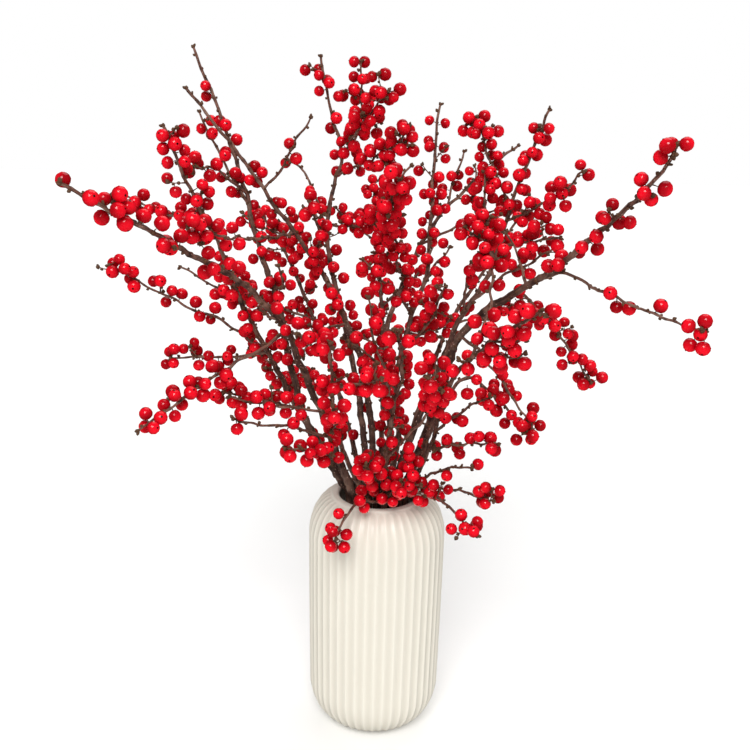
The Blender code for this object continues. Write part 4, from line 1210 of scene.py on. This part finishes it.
def through_tree(name, mesh, tree, values):
    """The plain mesh that a geometry tree makes of a mesh, as an object of that name."""
    source = in_scene(name + "_source", mesh)
    modifier = source.modifiers.new("shape", "NODES")
    modifier.node_group = tree
    for item in tree.interface.items_tree:
        if item.item_type == "SOCKET" and item.in_out == "INPUT" and item.name in values:
            modifier[item.identifier] = values[item.name]
    made = settled_mesh(source)
    made.name = name
    return in_scene(name, made)


def outer_profile(count):
    """The vase's outer side from the top of the lip to the centre of its foot."""
    rim = (SHOULDER_TOP_RADIUS, VASE_HEIGHT - SHOULDER_HEIGHT)
    width = BELLY_RADIUS - SHOULDER_TOP_RADIUS
    collar = arc(rim, (width, SHOULDER_HEIGHT), *COLLAR_ARC)
    shoulder = arc(rim, (width, SHOULDER_HEIGHT - COLLAR_STEP), *SHOULDER_ARC, count)
    low = (WAIST_RADIUS, CORNER_HEIGHT)
    high = (BELLY_RADIUS, VASE_HEIGHT - SHOULDER_HEIGHT)
    body = []
    for index in range(1, count):
        share = index / count
        swell = math.sin(math.radians(90 * (1 - share)))
        body.append((low[0] + (high[0] - low[0]) * swell, high[1] + (low[1] - high[1]) * share))
    corner = arc(
        (FOOT_RADIUS, CORNER_HEIGHT), (WAIST_RADIUS - FOOT_RADIUS, CORNER_HEIGHT), 0, -90, count)
    return collar + shoulder + body + corner + [(FOOT_RADIUS - FOOT_BEVEL, 0.0), (0.0, 0.0)]


def inner_profile(count):
    """The hollow's side from the centre of the floor up over the rounded lip."""
    corner = arc(
        (FOOT_RADIUS - FOOT_BEVEL, CORNER_HEIGHT),
        (WAIST_RADIUS - WALL - FOOT_RADIUS + FOOT_BEVEL, CORNER_HEIGHT - FLOOR_HEIGHT),
        -90, 0, count)
    shoulder = arc(
        (SHOULDER_TOP_RADIUS, VASE_HEIGHT - SHOULDER_HEIGHT),
        (BELLY_RADIUS - SHOULDER_TOP_RADIUS - WALL, SHOULDER_HEIGHT - WALL),
        *INNER_SHOULDER_ARC, count)
    lip = arc(
        (SHOULDER_TOP_RADIUS, VASE_HEIGHT - LIP_HEIGHT),
        (SHOULDER_TOP_RADIUS - MOUTH_RADIUS, LIP_HEIGHT), *LIP_ARC)
    return [(0.0, FLOOR_HEIGHT)] + corner + shoulder + lip


def point_values(mesh, name, kind, values):
    """Stores one value for each point under a name."""
    field = "vector" if kind == "FLOAT_VECTOR" else "value"
    mesh.attributes.new(name, kind, "POINT").data.foreach_set(field, values)


def turned_mesh(columns):
    """The vase's wall as a turned mesh, with its outer side marked."""
    inner = inner_profile(PROFILE_STEPS // 2)
    outer = outer_profile(PROFILE_STEPS)
    profile = inner + outer
    outline = bpy.data.meshes.new("wall_outline")
    outline.from_pydata(
        [(radius * CM, 0.0, height * CM) for radius, height in profile],
        [(index, index + 1) for index in range(len(profile) - 1)], [])
    point_values(outline, "outer_wall", "FLOAT", [0.0] * len(inner) + [1.0] * len(outer))
    turned = in_scene("wall_outline", outline)
    screw = turned.modifiers.new("turn", "SCREW")
    screw.steps = columns
    screw.use_merge_vertices = True
    screw.merge_threshold = SEAM_MERGE
    return settled_mesh(turned)


def close_up(mesh):
    """Merges doubled points and points every face outwards."""
    work = bmesh.new()
    work.from_mesh(mesh)
    bmesh.ops.remove_doubles(work, verts=work.verts, dist=DOUBLE_MERGE)
    bmesh.ops.recalc_face_normals(work, faces=work.faces)
    work.to_mesh(mesh)
    work.free()
    mesh.shade_smooth()


def dress(piece, node):
    """A finished piece rides on the body and stands for its solid, which it hides."""
    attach(piece, "root")
    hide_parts(node)


def hidden_shape(name, work):
    """A smooth shape with flat ends, out of the scene, so that only its copies show."""
    for face in work.faces:
        face.smooth = len(face.verts) <= 4
    mesh = bpy.data.meshes.new(name)
    work.to_mesh(mesh)
    work.free()
    return bpy.data.objects.new(name, mesh)


def berry_shape():
    """One berry of unit radius: its free end at +Z with a low five-sided scar."""
    work = bmesh.new()
    bmesh.ops.create_uvsphere(work, u_segments=12, v_segments=7, radius=1.0)
    for vertex in work.verts:
        near_stalk = max(0.0, -vertex.co.z - DIMPLE_START)
        vertex.co.z += near_stalk * DIMPLE_SHARE
    scar = bmesh.ops.create_cone(
        work, cap_ends=False, segments=5, radius1=0.16, radius2=0.0, depth=0.1,
        matrix=Matrix.Translation((0, 0, SCAR_HEIGHT)))
    layer = work.verts.layers.float.new("berry_end")
    raised = set(scar["verts"])
    for vertex in work.verts:
        vertex[layer] = 1.0 if vertex in raised else vertex.co.normalized().z
    return hidden_shape("berry_shape", work)


def stalk_shape():
    """A stalk of unit length along +Z that swells where it leaves the wood."""
    work = bmesh.new()
    bmesh.ops.create_cone(
        work, cap_ends=True, segments=5, radius1=1.0, radius2=0.6, depth=1.0,
        matrix=Matrix.Translation((0, 0, 0.5)))
    return hidden_shape("stalk_shape", work)


def bud_shape():
    """A bud of unit length along +Z: a broad leaf scar below and a blunt point above."""
    work = bmesh.new()
    bmesh.ops.create_uvsphere(work, u_segments=7, v_segments=6, radius=0.5)
    for vertex in work.verts:
        height = vertex.co.z + 0.5
        width = BUD_FOOT_WIDTH - BUD_TAPER * max(0.0, height - BUD_TAPER_START)
        vertex.co = (vertex.co.x * width, vertex.co.y * width, height)
    return hidden_shape("bud_shape", work)


def points_mesh(name, rows):
    """Points with the turn, the size and the ripeness of what goes on each."""
    mesh = bpy.data.meshes.new(name)
    mesh.from_pydata([tuple(place * CM) for place, _, _, _ in rows], [], [])
    turns = [way.to_track_quat("Z", "X").to_euler() for _, way, _, _ in rows]
    point_values(mesh, "turned", "FLOAT_VECTOR", [value for turn in turns for value in turn])
    sizes = [value * CM for _, _, size, _ in rows for value in size]
    point_values(mesh, "sized", "FLOAT_VECTOR", sizes)
    point_values(mesh, "ripeness", "FLOAT", [tone for _, _, _, tone in rows])
    return mesh


def wood_lines(name, strands):
    """The branch's strands as poly lines, a little thicker at each bud."""
    points = []
    edges = []
    thickness = []
    age = []
    rings = []
    for strand in strands:
        spots = finer(strand, WOOD_STEP)
        start = len(points)
        count = len(spots) - 1
        for index, (point, _, direction, share) in enumerate(spots):
            place = share * (len(strand.points) - 1)
            lower = min(int(place), len(strand.points) - 2)
            blend = place - lower
            radius = strand.radii[lower] * (1 - blend) + strand.radii[lower + 1] * blend
            joint = index * WOOD_STEP / BUD_SPACING
            knot = max(0.0, math.cos(math.tau * joint)) ** KNOT_SHARPNESS
            bend = math.cos(math.pi * joint) * ZIGZAG * min(1.0, index / ZIGZAG_STEPS)
            if point.z < VASE_HEIGHT:
                bend = 0.0
            points.append(tuple((point + around(direction, ZIGZAG_SIDE) * bend) * CM))
            old = min(1.0, max(0.0, (radius - YOUNG_RADIUS) / AGEING_GROWTH))
            slim = YOUNG_SLIMNESS + (1 - YOUNG_SLIMNESS) * old
            thickness.append(radius * slim * CM * (1 + KNOT_SWELL * knot))
            age.append(old)
            rings.append(knot)
            if index < count:
                edges.append((start + index, start + index + 1))
    mesh = bpy.data.meshes.new(name)
    mesh.from_pydata(points, edges, [])
    point_values(mesh, "thickness", "FLOAT", thickness)
    point_values(mesh, "wood_age", "FLOAT", age)
    point_values(mesh, "bud_ring", "FLOAT", rings)
    return mesh


def bud_rows(strands, length, rng):
    """A bud at every joint of the wood, and a few crowded at each tip."""
    rows = []
    for strand in strands:
        turn = rng.uniform(0, 360)
        spots = finer(strand, BUD_SPACING)
        for point, wood, direction, _ in spots:
            turn += GOLDEN_ANGLE
            if point.z < VASE_HEIGHT + BUD_CLEAR:
                continue
            side = around(direction, turn)
            outward = (side + direction * rng.uniform(*BUD_LEAN)).normalized()
            size = rng.uniform(*BUD_SIZES)
            root = point + side * wood * BUD_SINK
            width = BUD_WIDTH * length * size
            rows.append((root, outward, (width, width, length * size), 0.0))
        tip, _, direction, _ = spots[-1]
        for number in range(TIP_BUDS):
            side = around(direction, turn + number * TIP_BUD_TURN)
            outward = (direction + side * TIP_BUD_SPREAD).normalized()
            width = BUD_WIDTH * length
            rows.append((tip - direction * TIP_BUD_SINK, outward, (width, width, length), 0.0))
    return rows


def stalk_rows(berries):
    """A stalk from the wood into each berry."""
    rows = []
    for berry in berries:
        way = berry.centre - berry.root
        length = max(STALK_SHORTEST, way.length - berry.radius * STALK_REACH)
        rows.append((berry.root, way.normalized(), (STALK_RADIUS, STALK_RADIUS, length), 0.0))
    return rows


def spur_rows(strands, rng):
    """Short knobbly side stubs on the older wood."""
    rows = []
    for strand in strands:
        for point, wood, direction, _ in finer(strand, SPUR_SPACING):
            turn = rng.uniform(0, 360)
            low = point.z < VASE_HEIGHT + SPUR_CLEAR
            if rng.random() > SPUR_CHANCE or low or wood < SPUR_WOOD:
                continue
            outward = (around(direction, turn) + direction * SPUR_LEAN).normalized()
            length = wood + rng.uniform(*SPUR_LENGTHS)
            rows.append((point, outward, (SPUR_RADIUS, SPUR_RADIUS, length), 0.0))
    return rows


def berry_rows(berries, rng):
    """Each berry with its scar turned a little off its way out, and how ripe it is."""
    rows = []
    for berry in berries:
        size = (berry.radius, berry.radius, berry.radius * rng.uniform(*BERRY_FLATNESS))
        tilt = Vector([rng.uniform(-BERRY_TILT, BERRY_TILT) for _ in range(3)])
        way = (berry.outward + tilt).normalized()
        rows.append((berry.centre, way, size, rng.random()))
    return rows


def colour_setting(name, description, hex_colour):
    """A colour that starts as an sRGB hex colour."""
    return FloatVectorProperty(
        name=name, description=description, default=linear(hex_colour), size=4,
        min=0.0, max=1.0, subtype="COLOR")


def length_setting(name, description, default, shortest, longest):
    """A length in metres between two limits."""
    return FloatProperty(
        name=name, description=description, default=default, min=shortest, max=longest,
        unit="LENGTH")


class VaseSettings(bpy.types.PropertyGroup):
    flutes: IntProperty(
        name="Flutes", description="Number of upright flutes round the vase", default=44, min=8)
    flute_depth: length_setting(
        "Flute depth", "How deep each flute is at its middle", 0.001, 0.0, 0.003)
    rib_colour: colour_setting("Rib glaze", "Glaze where it thins on the ribs", "E8E3D6")
    # The flute glaze is darker: painted shade in the flutes as well as pooled glaze
    flute_shade_and_pool_colour: colour_setting("Flute glaze", "Glaze where it pools in the flutes", "DAD5C7")


class WoodSettings(bpy.types.PropertyGroup):
    sides: IntProperty(
        name="Wood sides", description="Faces round each stem and twig", default=8, min=4)
    knobbliness: length_setting(
        "Knobbliness", "Height of the small lumps in the bark", 0.0006, 0.0, 0.002)
    bud_length: length_setting("Bud length", "Length of a bud of middle size", 0.003, 0.0, 0.008)
    young_colour: colour_setting("Young bark", "Bark of the thin twigs", "8C5C4C")
    old_colour: colour_setting("Old bark", "Bark of the thick stems", "4E3227")


class BerrySettings(bpy.types.PropertyGroup):
    smallest: length_setting(
        "Smallest berry", "Radius of the smallest berries", 0.0043, 0.002, 0.006)
    largest: length_setting(
        "Largest berry", "Radius of the largest berries", 0.0053, 0.002, 0.006)
    bright_colour: colour_setting("Bright skin", "Skin of the brightest berries", "F00A22")
    # The deep skin is the ripest berries' colour and also the painted shade towards each stalk
    ripe_and_shade_colour: colour_setting("Deep skin", "Skin of the ripest berries", "9E020F")


class StageSettings(bpy.types.PropertyGroup):
    floor_size: FloatProperty(
        name="Floor size", description="Width of the plain floor", default=8.0, min=1.0,
        unit="LENGTH")
    floor_colour: colour_setting("Floor colour", "Paint of the plain floor", "F7F7F6")
    light_strength: FloatProperty(
        name="Light strength", description="Strength of the main soft light", default=2.1,
        min=0.0)


def of_branch(name, grown):
    """The strands or the berries that grow on one branch."""
    return [one for one in grown if one.branch == name]


class WINTERBERRY_OT_vase(bpy.types.Operator):
    """Build the fluted vase"""

    bl_idname = "winterberry.vase"
    bl_label = "Build vase"

    def execute(self, context):
        settings = context.scene.winterberry_vase
        mesh = turned_mesh(settings.flutes * COLUMNS_PER_FLUTE)
        vase = through_tree("fluted_vase", mesh, fluted_wall_tree(), {
            "Flutes": settings.flutes, "Depth": settings.flute_depth,
            "Upper End Radius": FLUTE_TOP_RADIUS * CM, "Lower End Radius": FLUTE_FOOT_RADIUS * CM,
            "Fade": FLUTE_FADE * CM, "Middle Height": VASE_HEIGHT / 2 * CM,
            "Material": satin_glaze(settings)})
        close_up(vase.data)
        dress(vase, "vase")
        return {"FINISHED"}


class WINTERBERRY_OT_wood(bpy.types.Operator):
    """Build the stems and twigs with their bark"""

    bl_idname = "winterberry.wood"
    bl_label = "Build wood"

    def execute(self, context):
        settings = context.scene.winterberry_wood
        berries = context.scene.winterberry_berries
        strands, _ = grow_plant(berries.smallest, berries.largest)
        tree = round_wood_tree()
        bark = winter_bark(settings)
        for name in BRANCHES:
            lines = wood_lines(name, of_branch(name, strands))
            piece = through_tree(name + "_wood", lines, tree, {
                "Sides": settings.sides, "Knobbliness": settings.knobbliness,
                "Material": bark})
            dress(piece, name)
        return {"FINISHED"}


class WINTERBERRY_OT_spurs(bpy.types.Operator):
    """Build the buds, spurs and berry stalks"""

    bl_idname = "winterberry.spurs"
    bl_label = "Build buds and stalks"

    def execute(self, context):
        settings = context.scene.winterberry_berries
        strands, crop = grow_plant(settings.smallest, settings.largest)
        tree = placed_copies_tree()
        wood = young_wood()
        bud_length = context.scene.winterberry_wood.bud_length / CM
        bud = bud_shape()
        stalk = stalk_shape()
        rng = random.Random(BUD_SEED)
        for name in BRANCHES:
            own = of_branch(name, strands)
            rows = bud_rows(own, bud_length, rng)
            buds = through_tree(name + "_buds", points_mesh(name, rows), tree, {
                "Shape": bud, "Material": wood})
            rows = stalk_rows(of_branch(name, crop)) + spur_rows(own, rng)
            stalks = through_tree(name + "_stalks", points_mesh(name, rows), tree, {
                "Shape": stalk, "Material": wood})
            dress(buds, name)
            dress(stalks, name)
        return {"FINISHED"}


class WINTERBERRY_OT_berries(bpy.types.Operator):
    """Build the red berries"""

    bl_idname = "winterberry.berries"
    bl_label = "Build berries"

    def execute(self, context):
        settings = context.scene.winterberry_berries
        _, crop = grow_plant(settings.smallest, settings.largest)
        tree = placed_copies_tree()
        skin = berry_skin(settings)
        berry = berry_shape()
        rng = random.Random(BERRY_SEED)
        for name in BRANCHES:
            rows = berry_rows(of_branch(name, crop), rng)
            piece = through_tree(name + "_berries", points_mesh(name, rows), tree, {
                "Shape": berry, "Material": skin})
            dress(piece, name)
        return {"FINISHED"}


def floor_paint(settings):
    """Plain matt white floor."""
    made, tree = new_material("plain_floor")
    return surfaced(made, tree, {
        "Base Color": settings.floor_colour, "Roughness": 0.9, "Specular IOR Level": 0.1})


def soft_light(name, azimuth, elevation, strength, spread, glints):
    """A wide soft light from far away, from an azimuth and elevation in degrees."""
    data = bpy.data.lights.new(name, "SUN")
    data.energy = strength
    data.angle = math.radians(spread)
    light = in_scene(name, data)
    light.rotation_euler = (math.radians(90 - elevation), 0.0, math.radians(azimuth))
    light.visible_glossy = glints


def white_room():
    """A white surround: clear white to the lens, softer as a light, and dim in reflections."""
    world = bpy.data.worlds.new("white_room")
    world.use_nodes = True
    tree = world.node_tree
    tree.nodes.clear()
    path = add_node(tree, "ShaderNodeLightPath")
    soft = add_node(tree, "ShaderNodeMapRange", inputs={
        "Value": path.outputs["Is Glossy Ray"],
        "To Min": SURROUND_LIGHT, "To Max": SURROUND_REFLECTION})
    strength = add_node(tree, "ShaderNodeMix", {"data_type": "FLOAT"}, {
        "Factor": path.outputs["Is Camera Ray"], "A": soft, "B": 1.0})
    surround = add_node(tree, "ShaderNodeBackground", inputs={
        "Color": (1.0, 1.0, 1.0, 1.0), "Strength": strength})
    add_node(tree, "ShaderNodeOutputWorld", inputs={"Surface": surround})
    return world


class WINTERBERRY_OT_stage(bpy.types.Operator):
    """Set the floor, the soft lights, the world and the camera"""

    bl_idname = "winterberry.stage"
    bl_label = "Set stage"

    def execute(self, context):
        settings = context.scene.winterberry_stage
        bpy.ops.mesh.primitive_plane_add(size=settings.floor_size, location=(0, 0, -FLOOR_DROP))
        floor = context.object
        floor.name = "plain_floor"
        floor.data.materials.append(floor_paint(settings))
        floor.visible_glossy = False
        for name, (azimuth, elevation, share, spread, glints) in LIGHTS.items():
            strength = settings.light_strength * share
            soft_light(name, azimuth, elevation, strength, spread, glints)
        context.scene.world = white_room()
        context.scene.view_settings.view_transform = "Standard"
        camera_data = bpy.data.cameras.new("camera")
        camera_data.lens = CAMERA_LENS
        camera_data.sensor_width = CAMERA_SENSOR
        camera = in_scene("camera", camera_data)
        tilt = Matrix.Rotation(math.radians(90 - CAMERA_PITCH), 4, "X")
        roll = Matrix.Rotation(math.radians(CAMERA_ROLL), 4, "Z")
        camera.matrix_world = Matrix.Translation(Vector(CAMERA_PLACE) * CM) @ tilt @ roll
        context.scene.camera = camera
        return {"FINISHED"}


class WINTERBERRY_PT_panel(bpy.types.Panel):
    """Sizes and builders of the winterberry vase"""

    bl_label = "Winterberry vase"
    bl_idname = "WINTERBERRY_PT_panel"
    bl_space_type = "VIEW_3D"
    bl_region_type = "UI"
    bl_category = "Winterberry"

    def draw(self, context):
        for group in SETTINGS:
            settings = getattr(context.scene, group)
            for name in settings.__annotations__:
                self.layout.prop(settings, name)
        for operator in OPERATORS:
            self.layout.operator(operator.bl_idname)


OPERATORS = (
    WINTERBERRY_OT_vase, WINTERBERRY_OT_wood, WINTERBERRY_OT_spurs, WINTERBERRY_OT_berries,
    WINTERBERRY_OT_stage,
)
SETTINGS = {
    "winterberry_vase": VaseSettings,
    "winterberry_wood": WoodSettings,
    "winterberry_berries": BerrySettings,
    "winterberry_stage": StageSettings,
}
CLASSES = (*SETTINGS.values(), *OPERATORS, WINTERBERRY_PT_panel)


def register():
    for one in CLASSES:
        bpy.utils.register_class(one)
    for name, group in SETTINGS.items():
        setattr(bpy.types.Scene, name, PointerProperty(type=group))


def unregister():
    for name in reversed(SETTINGS):
        delattr(bpy.types.Scene, name)
    for one in reversed(CLASSES):
        bpy.utils.unregister_class(one)


def main():
    register()
    bpy.ops.winterberry.vase()
    bpy.ops.winterberry.wood()
    bpy.ops.winterberry.spurs()
    bpy.ops.winterberry.berries()
    bpy.ops.winterberry.stage()


if __name__ == "__main__":
    main()
